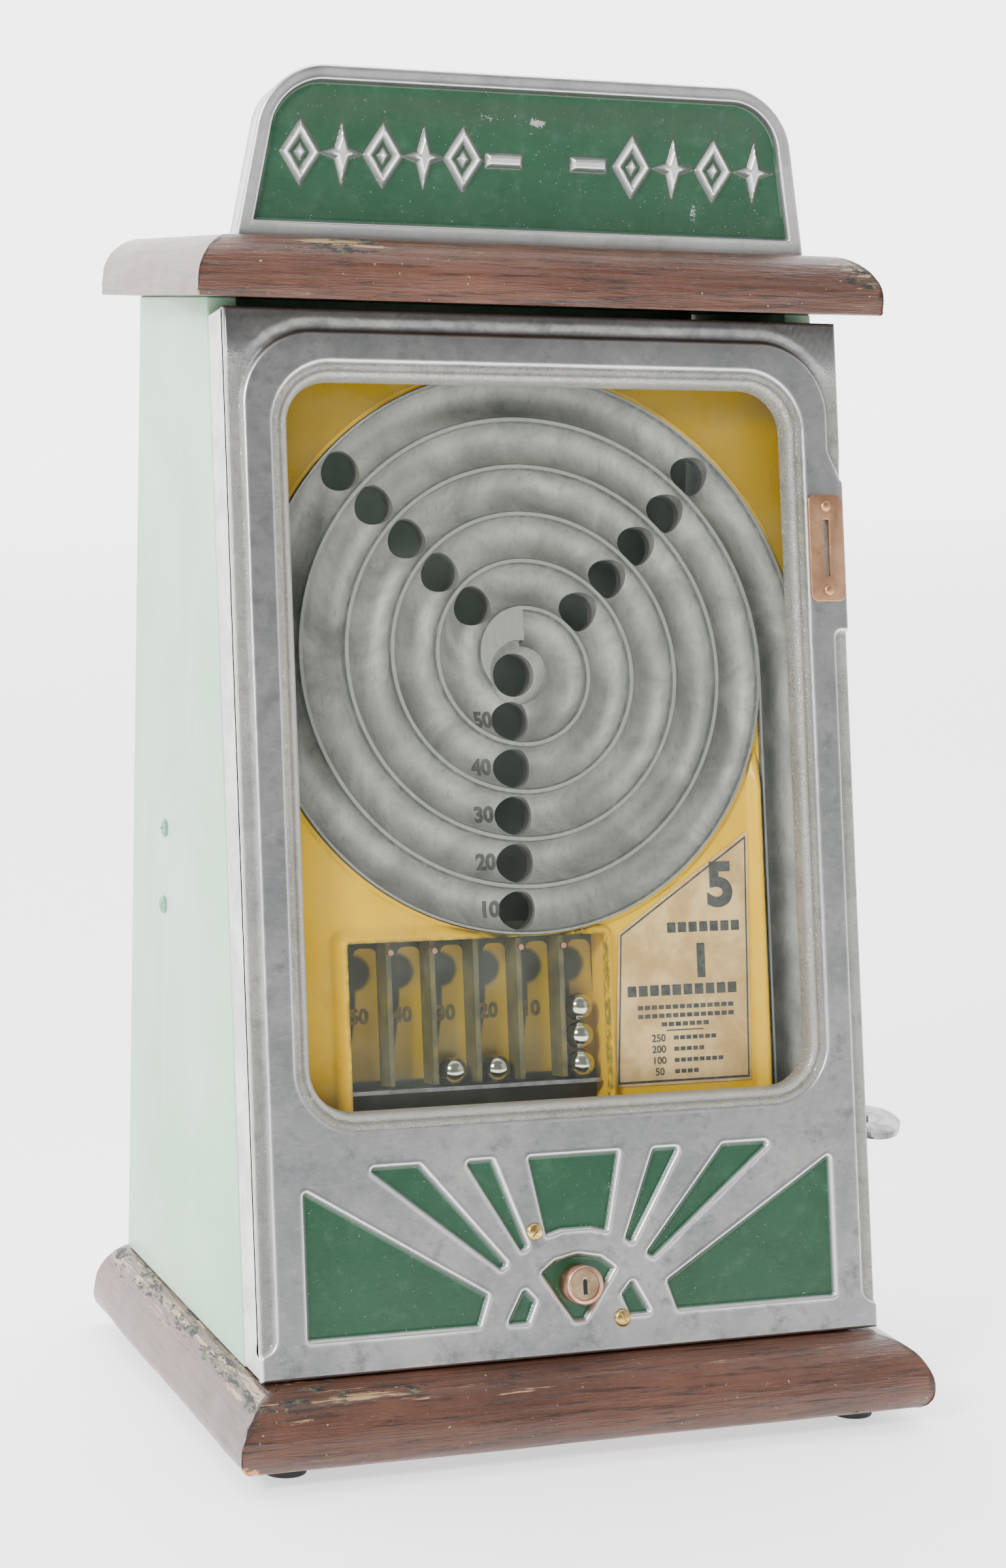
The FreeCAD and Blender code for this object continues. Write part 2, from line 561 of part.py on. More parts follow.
def make_hinges():
    """Two butt hinges at the right: a leaf and outer knuckles on the door, a leaf and knuckle on the wall."""
    door, wall, pins, heads = [], [], [], []
    fifth = "(leaf_tall / 3)"
    for z in ("hinge_low", "hinge_high"):
        low = f"({z} - leaf_tall / 2)"
        hole = rod("z", "hinge_pin + pin_gap", "leaf_tall + 2", HINGE_X, HINGE_Y, f"{low} - 1")
        leaf = box(HALF, f"{HALF} + leaf_thick", f"{HINGE_Y} - leaf_wide", f"{HINGE_Y} - 0.5",
                   low, f"{low} + leaf_tall")
        notch = box(f"{HALF} - 1", f"{HALF} + leaf_thick + 1", f"{HINGE_Y} - knuckle_radius - 0.4",
                    HINGE_Y, f"{low} + {fifth} - 0.2", f"{low} + 2 * {fifth} + 0.2")
        ends = [rod("z", "knuckle_radius", f"{fifth} - 0.3", HINGE_X, HINGE_Y, start)
                for start in (low, f"{low} + 2 * {fifth} + 0.3")]
        door.append(cut(fuse([cut(leaf, notch)] + ends), hole))
        back = box(HALF, f"{HALF} + leaf_thick", f"{HINGE_Y} + 0.5", f"{HINGE_Y} + leaf_wide",
                   low, f"{low} + leaf_tall")
        spaces = [box(f"{HALF} - 1", f"{HALF} + leaf_thick + 1", HINGE_Y,
                      f"{HINGE_Y} + knuckle_radius + 0.4", start, end)
                  for start, end in ((f"{low} - 1", f"{low} + {fifth} + 0.2"),
                                     (f"{low} + 2 * {fifth} - 0.2", f"{low} + leaf_tall + 1"))]
        middle = rod("z", "knuckle_radius", f"{fifth} - 0.6", HINGE_X, HINGE_Y, f"{low} + {fifth} + 0.3")
        bore = rod("z", "hinge_pin", "leaf_tall + 2", HINGE_X, HINGE_Y, f"{low} - 1")
        wall.append(cut(fuse([cut(back, fuse(spaces)), middle]), bore))
        pins.append(fuse([rod("z", "hinge_pin", "leaf_tall + 0.6", HINGE_X, HINGE_Y, f"{low} - 0.3"),
                          rod("z", "knuckle_radius - 0.4", "1.2", HINGE_X, HINGE_Y,
                              f"{low} + leaf_tall + 0.3")]))
        heads += [rod("x", "1.8", "0.8", f"{HALF} + leaf_thick", f"{HINGE_Y} + 9.5", f"{z} {step}")
                  for step in ("- 13", "+ 13")]
    on_slope(group(door), "hinge_leaf_door")
    on_slope(group(wall), "hinge_leaf_cabinet")
    on_slope(group(pins), "hinge_pins")
    on_slope(group(heads), "hinge_screws")


# Playfield: spiral casting, yellow board, gallery.

def half_turn(index):
    """The side, radius and centre height of one of the spiral's tangent half circles."""
    side = "left" if index % 2 == 0 else "right"
    sign = "+" if side == "left" else "-"
    return side, f"(first_ring + spiral_pitch * {index / 2 + 0.25})", f"(spiral_z {sign} {STEP})"


TO_FRONT = Rotation(Vector(1, 0, 0), 90)


def half_disc(side, radius, z, y_low, y_high, angle="180"):
    """Half of a cylinder that faces the front; 'corner' is its upper right quarter."""
    item = doc.addObject("Part::Cylinder", "sector")
    start = {"left": 90, "right": -90, "corner": 0}[side]
    item.Placement.Rotation = TO_FRONT.multiply(Rotation(Vector(0, 0, 1), start))
    bind(item, Radius=radius, Height=f"({y_high}) - ({y_low})", Angle=angle)
    return locate(item, "spiral_x", y_high, z)


def half_groove(side, radius, z, angle="180"):
    item = doc.addObject("Part::Torus", "groove")
    start = {"left": 90, "right": -90, "corner": 0}[side]
    item.Placement.Rotation = TO_FRONT.multiply(Rotation(Vector(0, 0, 1), start))
    bind(item, Radius1=radius, Radius2="groove_radius", Angle3=angle)
    return locate(item, "spiral_x", "play_face + groove_depth - groove_radius", z)


def track_solid(y_low, y_high, extra):
    """The outline of the spiral casting with its runway, grown by a margin."""
    outer = [half_turn(index) for index in (7, 8, 9)]
    rim = f"track_rim + {extra}"
    pieces = [half_disc("right", f"{outer[0][1]} + {rim}", outer[0][2], y_low, y_high),
              half_disc("left", f"{outer[1][1]} + {rim}", outer[1][2], y_low, y_high),
              half_disc("corner", f"{outer[2][1]} + {rim}", outer[2][2], y_low, y_high, "90"),
              box(f"{RUNWAY_X} - {rim}", f"{RUNWAY_X} + track_rim", y_low, y_high,
                  f"runway_low - {extra}", outer[2][2])]
    return fuse(pieces)


def make_track():
    grooves = [half_groove(*half_turn(index)) for index in range(-1, 9)]
    grooves.append(half_groove("corner", *half_turn(9)[1:], "90"))
    axis_y = "play_face + groove_depth - groove_radius"
    grooves.append(rod("z", "groove_radius", f"{half_turn(9)[2]} - runway_low + 1", RUNWAY_X, axis_y,
                       "runway_low - 1"))
    grooves.append(rod("y", "12.5", "groove_depth - 1", "spiral_x - 2", "play_face - 1", "spiral_z - 3"))
    holes = []
    for index in range(5):
        holes.append(("spiral_x - 4.5", f"spiral_z - first_ring - spiral_pitch * {index}"))
    for index in range(9):
        side, radius, height = half_turn(index)
        sign = "-" if side == "left" else "+"
        holes.append((f"spiral_x {sign} {radius} * 0.707", f"{height} + {radius} * 0.707"))
    holes.append((f"spiral_x + {half_turn(9)[1]} * 0.69", f"{half_turn(9)[2]} + {half_turn(9)[1]} * 0.724"))
    through = [rod("y", "ball_hole", "play_thick + 2", x, "play_face - 1", z) for x, z in holes]
    through.append(rod("y", "ball_hole + 0.8", "play_thick + 2", "spiral_x - 2.9", "play_face - 1",
                       "spiral_z - 3.9"))
    casting = cut(track_solid("play_face", BOARD_BACK, "0"), fuse(grooves + through))
    on_slope(casting, "spiral_track")


def make_playfield():
    """Yellow playfield board round the spiral casting, open where the gallery is."""
    board = box(f"-{PLAY_HALF}", f"{RUNWAY_X} - track_rim - fit_gap", BOARD_FACE, BOARD_BACK, "play_low",
                "play_high")
    crown = box(f"{RUNWAY_X} - track_rim - fit_gap - 1", PLAY_HALF, BOARD_FACE, BOARD_BACK,
                f"{half_turn(9)[2]}", "play_high")
    window = box("gallery_left", "gallery_right", f"{BOARD_FACE} - 1", f"{BOARD_BACK} + 1", "gallery_low",
                 "gallery_high")
    track = track_solid(f"{BOARD_FACE} - 1", f"{BOARD_BACK} + 1", "fit_gap")
    on_slope(cut(fuse([board, crown]), fuse([window, track])), "playfield_board")


def make_gallery():
    """Six score columns between dividers, a clear pane with pins before them and a plate behind."""
    back = plate("XZ", [rectangle("gallery_left - 6", "gallery_right + 6", "gallery_low - 3",
                 "gallery_high + 6")] + [rectangle("gallery_left + 2 - fit_gap", "gallery_right - 2 + fit_gap",
                 "gate_high - gate_thick - fit_gap", "gate_high + fit_gap")]
                 + [(f"gallery_left + {COLUMN} * {index + 0.5}", "port_high", "port_radius")
                    for index in range(6)], BOARD_BACK, f"{BOARD_BACK} + back_plate")
    on_slope(back, "gallery_back")
    walls = [box(f"gallery_left + {COLUMN} * {index} - divider / 2", f"gallery_left + {COLUMN} * {index} "
             "+ divider / 2", f"{BOARD_FACE} + 0.1", BOARD_BACK, "gate_high + 1.5", "gallery_high - 0.3")
             for index in range(1, 6)]
    on_slope(group(walls), "gallery_dividers")
    body = plate("XZ", [rectangle("gallery_left - 3", "gallery_right + 2", "gallery_low + 4",
                 "gallery_high")], f"{BOARD_FACE} - pane_thick", BOARD_FACE)
    on_slope(body, "gallery_pane")
    pins = [rod("y", "1.1", "2", f"gallery_left + {COLUMN} * {index}", f"{BOARD_FACE} - pane_thick - 2",
                "gallery_high - 4") for index in (1, 2, 4, 5)]
    on_slope(group(pins), "gallery_pins")
    left, right = "gallery_right", f"{RUNWAY_X} - track_rim"
    corners = [(f"{left} + 3", "99"), (f"{right} - 9.5", "99"), (f"{right} - 7", "198"),
               (f"{left} + 6.5", "159")]
    body = plate("XZ", [corners],
                 f"{BOARD_FACE} - 0.5", BOARD_FACE)
    on_slope(body, "score_card")


def make_gate():
    """The bar under the columns slides back to drop the balls; a spring returns it."""
    low, high = "gate_high - gate_thick", "gate_high"
    x_low, x_high = "gallery_left + 2", "gallery_right - 2"
    rear = f"{BOARD_BACK} + back_plate + gate_travel + 8"
    bar = box(x_low, x_high, f"{BOARD_BACK} - 9", rear, low, high)
    tab = box("-34", "-24", f"{rear} - 2", rear, "gate_high - 9", "gate_high")
    on_slope(fuse([bar, tab]), "ball_gate")
    rod_y = f"{BOARD_BACK} + back_plate"
    bracket = fuse([box("-40", "-18", rod_y, f"{rod_y} + 1.5", "gallery_low - 3", "gate_high - 3"),
                    box("-40", "-18", rod_y, f"{RAIL_FACE}", "gallery_low - 3", "gallery_low - 1.5")])
    on_slope(bracket, "gate_bracket")
    coil = helix("2.2", "0.6", "5", "gate_travel + 4")
    coil.Placement.Rotation = TURNS["y"]
    locate(coil, "-29", f"{rod_y} + 1.8", "gate_high - 6")
    on_slope(group([coil]), "gate_spring")


def helix(radius, wire, turns, length):
    """A coil of round wire that runs up its own z."""
    spine = doc.addObject("Part::Helix", "helix")
    bind(spine, Radius=radius, Pitch=f"({length}) / ({turns})", Height=length)
    section = doc.addObject("Part::Circle", "section")
    section.Placement.Rotation = Rotation(Vector(1, 0, 0), 90)
    bind(section, Radius=f"({wire}) / 2")
    locate(section, radius, "0", "0")
    doc.recompute()
    item = doc.addObject("Part::Sweep", "coil")
    item.Sections = [section]
    item.Spine = (spine, ["Edge1"])
    item.Solid = True
    item.Frenet = True
    return item


def make_balls():
    y = f"{BOARD_BACK} - ball_radius - 0.3"
    rest = "(gate_high + ball_radius + 0.3)"
    for label, column in (("ball_thirty", 2), ("ball_twenty", 3)):
        x = f"gallery_left + {COLUMN} * {column + 0.5}"
        on_slope(group([ball("ball_radius", x, y, rest)]), label)
    x = f"gallery_left + {COLUMN} * 5.5"
    pile = [ball("ball_radius", x, y, f"{rest} + {index} * ball_radius * 2.001") for index in range(3)]
    on_slope(group(pile), "balls_out")


# Shooter behind the playfield.

def make_thumb_tab(neck):
    """The thumb piece, leaning forward on the end of the lever."""
    middle, low = f"{LEVER_TIP} - pad_wide / 2", "-pad_thick / 2"
    disc = rod("z", "pad_wide / 2", "pad_thick", middle, "0", low)
    stem = box(neck, middle, "-lever_thick", "lever_thick", low, "pad_thick / 2")
    tab = fuse([disc, stem])
    tab.Placement.Rotation = Rotation(Vector(1, 0, 0), size("pad_lean"))
    tab.setExpression("Placement.Rotation.Angle", formula("pad_lean * 1 deg"))
    return locate(tab, "0", "lever_y", "pivot_z + pad_thick / 2")


def make_shooter():
    y_low, y_high = "lever_y - lever_thick / 2", "lever_y + lever_thick / 2"
    neck = f"({LEVER_TIP} - pad_neck)"
    arm = box("tail_x", f"{neck} + 6", y_low, y_high, "pivot_z - lever_high / 2", "pivot_z + lever_high / 2")
    hub = rod("y", "hub_radius", "lever_thick", "pivot_x", y_low, "pivot_z")
    tab = make_thumb_tab(neck)
    hammer_y = "play_face + groove_depth - groove_radius + 4"
    arm_up = box(f"{RUNWAY_X} - hammer_radius", f"{RUNWAY_X} + hammer_radius", hammer_y, y_high,
                 "pivot_z - lever_high / 2", "pivot_z + lever_high / 2")
    hammer = rod("z", "hammer_radius", "runway_low - 1.4 - pivot_z", RUNWAY_X, f"{hammer_y} + 2", "pivot_z")
    hole = rod("y", "pin_radius + pin_gap", "lever_thick + 2", "pivot_x", f"{y_low} - 1", "pivot_z")
    eye = rod("y", "1", "lever_thick + 2", "tail_x + 4", f"{y_low} - 1", "pivot_z - 2")
    lever = cut(fuse([arm, hub, arm_up, hammer, tab]), fuse([hole, eye]))
    on_slope(lever, "shooter_lever")
    pin = fuse([rod("y", "pin_radius", "lever_thick + rail_gap + 8.6", "pivot_x", f"{y_low} - 0.6",
                    "pivot_z"), rod("y", "pin_radius + 2", "1", "pivot_x", f"{y_low} - 1.5", "pivot_z")])
    on_slope(pin, "shooter_pin")
    rail = box(f"-{INNER}", INNER, RAIL_FACE, f"{RAIL_FACE} + rail_thick", "rail_low", "rail_high")
    bore = rod("y", "pin_radius", "8.6", "pivot_x", f"{RAIL_FACE} - 0.1", "pivot_z")
    on_slope(cut(rail, bore), "cross_rail")
    stop = box("78", "86", "lever_y - 1.5", RAIL_FACE, "pivot_z + lever_high / 2 + 0.3", "pivot_z + 14")
    on_slope(group([stop]), "lever_stop")
    coil = helix("spring_radius", "spring_wire", "8", "24")
    locate(coil, "tail_x + 4", "lever_y", "pivot_z - lever_high / 2 - 0.4 - 24")
    on_slope(group([coil]), "shooter_spring")
    low = "pivot_z - lever_high / 2 - 0.8 - 24"
    hook = box("tail_x", "tail_x + 8", "lever_y - 5", RAIL_FACE, f"{low} - 1.6", low)
    on_slope(group([hook]), "spring_anchor")


def make_cleats():
    """Wooden strips on the side walls; the playfield is screwed to them."""
    strips = []
    for low, high in ((f"-{INNER}", f"-{INNER} + 13"), (f"{INNER} - 13", INNER)):
        strips.append(box(low, high, BOARD_BACK, f"{BOARD_BACK} + 14", "rail_high + 4", "play_high"))
    on_slope(group(strips), "playfield_cleats")


def make_cash_box():
    x_low, x_high = "-cash_wide / 2", "cash_wide / 2"
    y_low, y_high = "cash_back - cash_deep / 2", "cash_back + cash_deep / 2"
    outer = box(x_low, x_high, y_low, y_high, BASE_TOP, f"{BASE_TOP} + cash_tall")
    inner = box(f"{x_low} + cash_wall", f"{x_high} - cash_wall", f"{y_low} + cash_wall",
                f"{y_high} - cash_wall", f"{BASE_TOP} + cash_wall", f"{BASE_TOP} + cash_tall + 1")
    in_cabinet(cut(outer, inner), "cash_box")


# Sign on the cap.

def sign_side(level):
    """Half the width of the sign at a height above the cap."""
    return f"(sign_low_half - sign_lean * ({level}) / sign_tall)"


def make_sign():
    high = f"({CAP_TOP} + sign_tall)"
    low = CAP_TOP
    y_high = "sign_front + sign_thick"
    outer = [(f"-{sign_side('0')}", low), (sign_side("0"), low), (sign_side("sign_tall"), high),
             (f"-{sign_side('sign_tall')}", high)]
    body = plate("XZ", [outer], "sign_front", y_high)
    top = size(high)
    round_edges(body, "sign_round", lambda edge: along_depth(edge) and edge.BoundBox.ZMin > top - 0.1)
    rim, upper = "sign_rim", "sign_tall - sign_rim"
    field = [(f"-({sign_side(rim)} - sign_rim)", f"{low} + sign_rim"),
             (f"{sign_side(rim)} - sign_rim", f"{low} + sign_rim"),
             (f"{sign_side(upper)} - sign_rim", f"{low} + {upper}"),
             (f"-({sign_side(upper)} - sign_rim)", f"{low} + {upper}")]
    pocket(body, "XZ", [field], "sign_front - 1", "sign_front + sign_deep")
    inner_top = size(f"{low} + {upper}")
    round_edges(body, "sign_round - sign_rim", lambda edge: along_depth(edge)
                and abs(edge.BoundBox.ZMin - inner_top) < 0.1)
    in_cabinet(body, "sign_casting")
    margin = "(sign_rim + 0.8)"
    over = "sign_tall - sign_rim - 0.8"
    inlay = [(f"-({sign_side(margin)} - {margin})", f"{low} + {margin}"),
             (f"{sign_side(margin)} - {margin}", f"{low} + {margin}"),
             (f"{sign_side(over)} - {margin}", f"{low} + {over}"),
             (f"-({sign_side(over)} - {margin})", f"{low} + {over}")]
    plate_face = "sign_front + sign_deep - 0.8"
    body = plate("XZ", [inlay], plate_face, "sign_front + sign_deep")
    inner_top = size(f"{low} + {over}")
    round_edges(body, "sign_round - sign_rim - 0.8", lambda edge: along_depth(edge)
                and abs(edge.BoundBox.ZMin - inner_top) < 0.1)
    in_cabinet(body, "sign_field")
    make_marks(plate_face)


def make_marks(face):
    """Raised lozenges, bars and a centre disc in place of lettering."""
    low = f"{CAP_TOP} + mark_low"
    half = "(mark_tall / 2)"
    marks = []
    for sign in ("-", ""):
        for index, across in enumerate(("34", "56", "78", "98")):
            x = f"{sign}{across}"
            wide = "8.5" if index % 2 else "5"
            marks.append(plate("XZ", [[(f"{x} - {wide}", f"{low} + {half}"), (x, low),
                         (f"{x} + {wide}", f"{low} + {half}"), (x, f"{low} + mark_tall")]],
                         f"{face} - 1.4", face))
    marks.append(cut(rod("y", half, "1.4", "0", f"{face} - 1.4", f"{low} + {half}"),
                     rod("y", f"{half} - 3", "4", "0", f"{face} - 3", f"{low} + {half}")))
    for bar in ("- 7", "+ mark_tall + 5"):
        marks.append(box("-78", "78", f"{face} - 1", face, f"{low} {bar}", f"{low} {bar} + 2"))
    in_cabinet(group(marks), "sign_marks")


def write_parts():
    """Check every sub-part, then write each to its own file."""
    doc.recompute()
    for item in doc.Objects:
        if "Invalid" in item.State or "Error" in item.State:
            raise RuntimeError("%s (%s) did not compute" % (item.Label, item.TypeId))
    os.makedirs("parts", exist_ok=True)
    for item in PARTS:
        if item.Shape.isNull() or not item.Shape.isValid() or not item.Shape.Solids:
            raise RuntimeError("%s has no valid solid" % item.Label)
        item.Shape.exportStep("parts/%s.step" % item.Label)


def main():
    front, rear = "-depth_all / 2", "depth_all / 2"
    make_board("base_board", BASE_HALF, front, BASE_BACK, "foot_height", BASE_TOP, "base_arc",
                     "base_low_arc")
    make_board("cap_board", CAP_HALF, "depth_all / 2 - cap_depth", rear, CAP_LOW, CAP_TOP, "cap_arc",
                     "")
    for step in (make_feet, make_left_side, make_right_side, make_back, make_side_screws, make_casting,
                 make_inlays, make_glass, make_lock, make_strike, make_coin_entry, make_hinges, make_track,
                 make_playfield, make_gallery, make_gate, make_balls, make_shooter, make_cleats,
                 make_cash_box, make_sign):
        step()
    write_parts()


main()
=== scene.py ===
"""Looks for the countertop spiral ball game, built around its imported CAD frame.

Finished points are in metres in the row frame. Shapes on the sloping front are worked out in
millimetres in the slope frame: x across, d into the machine from the door's face, z up the slope
from the door's lower edge.
"""
import contextlib
import json
import math

import bmesh
import bpy
import numpy as np
from mathutils import Matrix, Vector


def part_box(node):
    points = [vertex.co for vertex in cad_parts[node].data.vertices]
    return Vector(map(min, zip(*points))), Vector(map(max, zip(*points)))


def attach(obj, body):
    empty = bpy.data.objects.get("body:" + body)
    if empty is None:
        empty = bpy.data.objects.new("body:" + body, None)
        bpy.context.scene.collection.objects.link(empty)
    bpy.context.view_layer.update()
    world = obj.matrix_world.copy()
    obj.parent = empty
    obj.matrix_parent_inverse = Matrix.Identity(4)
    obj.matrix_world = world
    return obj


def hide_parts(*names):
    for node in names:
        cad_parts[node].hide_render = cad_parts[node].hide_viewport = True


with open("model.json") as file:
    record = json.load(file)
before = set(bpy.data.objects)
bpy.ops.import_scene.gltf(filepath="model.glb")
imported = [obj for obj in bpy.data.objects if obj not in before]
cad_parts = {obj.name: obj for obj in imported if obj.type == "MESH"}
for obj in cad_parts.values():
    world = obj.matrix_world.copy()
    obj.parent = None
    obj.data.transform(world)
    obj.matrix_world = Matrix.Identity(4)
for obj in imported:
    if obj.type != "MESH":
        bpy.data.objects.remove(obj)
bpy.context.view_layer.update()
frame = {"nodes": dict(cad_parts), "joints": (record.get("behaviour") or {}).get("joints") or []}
MM = 0.001

# The slope frame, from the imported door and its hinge.
DOOR_LOW, DOOR_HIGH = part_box("door_casting")
HINGE = next(joint for joint in frame["joints"] if joint["name"] == "door_hinge")
TILT = math.atan2(HINGE["axis"][1], HINGE["axis"][2])
MIDDLE = (DOOR_LOW.x + DOOR_HIGH.x) / 2
SIN, COS = math.sin(TILT), math.cos(TILT)
HALF = (DOOR_HIGH.x - DOOR_LOW.x) / 2 / MM
SLOPE = Matrix(((1, 0, 0, MIDDLE), (0, COS, SIN, DOOR_LOW.y), (0, -SIN, COS, DOOR_LOW.z), (0, 0, 0, 1)))
SLOPE_NP = np.array(SLOPE)


def on_slope(x, d, z):
    """Points in the row frame, in metres, from millimetres in the slope frame."""
    local = np.stack(np.broadcast_arrays(x, d, z), axis=-1).astype(float) * MM
    return local @ SLOPE_NP[:3, :3].T + SLOPE_NP[:3, 3]


def slope_extent(name):
    """The lowest and highest x, d and z of a CAD node in the slope frame, in millimetres."""
    points = np.array([vertex.co for vertex in frame["nodes"][name].data.vertices])
    local = (points - SLOPE_NP[:3, 3]) @ SLOPE_NP[:3, :3] / MM
    return local.min(axis=0), local.max(axis=0)


DOOR_TALL = slope_extent("door_casting")[1][2]
DOOR_DEEP = slope_extent("door_casting")[1][1]
GLASS_FACE = slope_extent("door_glass")[0][1]
PLAY_FACE = slope_extent("spiral_track")[0][1]
BOARD_FACE = slope_extent("playfield_board")[0][1]
BOARD_BACK = slope_extent("playfield_board")[1][1]


# ---- node helpers ----------------------------------------------------------

class Shader:
    """A material's node tree, built a node at a time."""

    def __init__(self, name):
        self.material = bpy.data.materials.new(name)
        self.material.use_nodes = True
        self.tree = self.material.node_tree
        self.surface = self.tree.nodes["Principled BSDF"]
        self.coords = self.tree.nodes.new("ShaderNodeTexCoord").outputs["Object"]

    def put(self, socket, value):
        if isinstance(value, bpy.types.NodeSocket):
            self.tree.links.new(value, socket)
        elif value is not None:
            socket.default_value = value

    def stretch(self, scale):
        """Object coordinates scaled apart along the axes."""
        node = self.tree.nodes.new("ShaderNodeMapping")
        self.put(node.inputs["Vector"], self.coords)
        node.inputs["Scale"].default_value = scale
        return node.outputs["Vector"]

    def noise(self, scale, detail=4.0, rough=0.55, coords=None, warp=0.0):
        node = self.tree.nodes.new("ShaderNodeTexNoise")
        self.put(node.inputs["Vector"], coords or self.coords)
        for name, value in (("Scale", scale), ("Detail", detail), ("Roughness", rough),
                            ("Distortion", warp)):
            node.inputs[name].default_value = value
        return node.outputs["Fac"]

    def band(self, value, low, high, to_low=0.0, to_high=1.0):
        node = self.tree.nodes.new("ShaderNodeMapRange")
        node.interpolation_type = "SMOOTHSTEP"
        for socket, given in zip(node.inputs, (value, low, high, to_low, to_high)):
            self.put(socket, given)
        return node.outputs["Result"]

    def math(self, kind, first, second=0.0):
        node = self.tree.nodes.new("ShaderNodeMath")
        node.operation = kind
        self.put(node.inputs[0], first)
        self.put(node.inputs[1], second)
        return node.outputs[0]

    def times(self, first, second):
        return self.math("MULTIPLY", first, second)

    def mix(self, share, first, second):
        """A colour that goes from one value to another."""
        node = self.tree.nodes.new("ShaderNodeMix")
        node.data_type = "RGBA"
        colours = [socket for socket in node.inputs if socket.type == "RGBA"]
        self.put(node.inputs[0], share)
        for socket, value in zip(colours, (first, second)):
            self.put(socket, (*value, 1.0) if isinstance(value, tuple) else value)
        return next(socket for socket in node.outputs if socket.type == "RGBA")

    def blend(self, share, first, second):
        """A number that goes from one value to another."""
        node = self.tree.nodes.new("ShaderNodeMix")
        self.put(node.inputs[0], share)
        self.put(node.inputs[2], first)
        self.put(node.inputs[3], second)
        return node.outputs[0]

    def mask(self, name):
        node = self.tree.nodes.new("ShaderNodeAttribute")
        node.attribute_name = name
        return node.outputs["Fac"]

    def axis(self, name):
        """One of the object coordinates."""
        node = self.tree.nodes.new("ShaderNodeSeparateXYZ")
        self.put(node.inputs[0], self.coords)
        return node.outputs[name]

    def bump(self, height, strength, distance, below=None):
        node = self.tree.nodes.new("ShaderNodeBump")
        node.inputs["Strength"].default_value = strength
        node.inputs["Distance"].default_value = distance
        self.put(node.inputs["Height"], height)
        self.put(node.inputs["Normal"], below)
        return node.outputs["Normal"]

    def finish(self, colour=None, rough=None, metal=None, normal=None, **more):
        for name, value in (("Base Color", colour), ("Roughness", rough), ("Metallic", metal),
                            ("Normal", normal)):
            if isinstance(value, tuple):
                value = (*value, 1.0)
            self.put(self.surface.inputs[name], value)
        for name, value in more.items():
            self.put(self.surface.inputs[name.replace("_", " ")], value)
        return self.material


def cast_metal(name):
    """Brushed cast aluminium: green enamel, cream paint, wear and painted shade follow the piece's masks.
    """
    shade = Shader(name)
    enamel, cream, edge, painted_shade = (shade.mask(mask) for mask in ("enamel", "cream", "edge", "painted_shade"))
    cloud = shade.noise(22, 6, 0.62, warp=0.6)
    blotch = shade.noise(95, 6, 0.72)
    brushed = shade.noise(700, 4, 0.65, shade.stretch((0.3, 1, 0.6)))
    fine = shade.noise(2600, 2, 0.6)
    metal = shade.mix(shade.band(cloud, 0.3, 0.7), (0.25, 0.255, 0.26), (0.37, 0.37, 0.365))
    metal = shade.mix(shade.band(blotch, 0.48, 0.72, 0, 0.8), metal, (0.14, 0.145, 0.15))
    metal = shade.mix(shade.times(shade.band(brushed, 0.5, 0.75), 0.3), metal, (0.50, 0.49, 0.47))
    metal = shade.mix(shade.times(shade.band(shade.noise(1400, 3, 0.7), 0.6, 0.75), 0.35), metal,
                      (0.62, 0.62, 0.60))
    pits = shade.band(shade.noise(1300, 4, 0.75), 0.42, 0.62)
    cream_colour = shade.mix(shade.noise(160, 4, 0.6), (0.26, 0.235, 0.14), (0.50, 0.47, 0.36))
    cream_share = shade.times(cream, shade.blend(pits, 0.12, 0.85))
    speck = shade.band(shade.noise(420, 3, 0.5), 0.70, 0.72)
    worn = shade.noise(34, 8, 0.7, shade.stretch((1, 1, 3)), 0.4)
    grit = shade.noise(1100, 4, 0.75)
    chips = shade.math("MAXIMUM", shade.band(worn, 0.69, 0.71),
                       shade.band(shade.noise(900, 3, 0.6), 0.7, 0.72))
    chips = shade.math("MAXIMUM", chips,
                       shade.band(shade.math("ADD", edge, shade.times(grit, 0.9)), 0.98, 1.10))
    green = shade.mix(shade.noise(45, 5, 0.6, warp=0.5), (0.006, 0.040, 0.017), (0.016, 0.072, 0.034))
    green = shade.mix(shade.band(shade.noise(120, 6, 0.7), 0.5, 0.75, 0, 0.3), green, (0.06, 0.13, 0.085))
    enamel_share = shade.times(enamel, shade.math("SUBTRACT", 1.0, chips))
    colour = shade.mix(cream_share, metal, cream_colour)
    colour = shade.mix(shade.times(speck, shade.times(cream, 0.8)), colour,
                       (0.60, 0.44, 0.07))
    colour = shade.mix(shade.times(edge, 0.7), colour, (0.86, 0.86, 0.84))
    colour = shade.mix(enamel_share, colour, green)
    # Painted shade: darker under the cap along the door's top, in the window bead's groove, and along the
    # top of the sign's field and beside its raised marks.
    colour = shade.mix(shade.times(painted_shade, 0.75), colour, (0.045, 0.043, 0.035))
    shiny = shade.math("SUBTRACT", 1.0, shade.math("MAXIMUM", enamel_share, cream_share))
    rough = shade.blend(shade.band(blotch, 0.3, 0.7), 0.32, 0.46)
    rough = shade.blend(enamel_share, rough, shade.blend(cloud, 0.18, 0.36))
    rough = shade.blend(cream_share, rough, 0.6)
    normal = shade.bump(brushed, 0.12, 0.0003)
    normal = shade.bump(fine, 0.16, 0.0002, normal)
    normal = shade.bump(shade.times(cream, pits), 0.7, 0.0007, normal)
    normal = shade.bump(enamel_share, 0.4, 0.0004, normal)
    return shade.finish(colour, rough, shiny, normal, Coat_Weight=0.05)


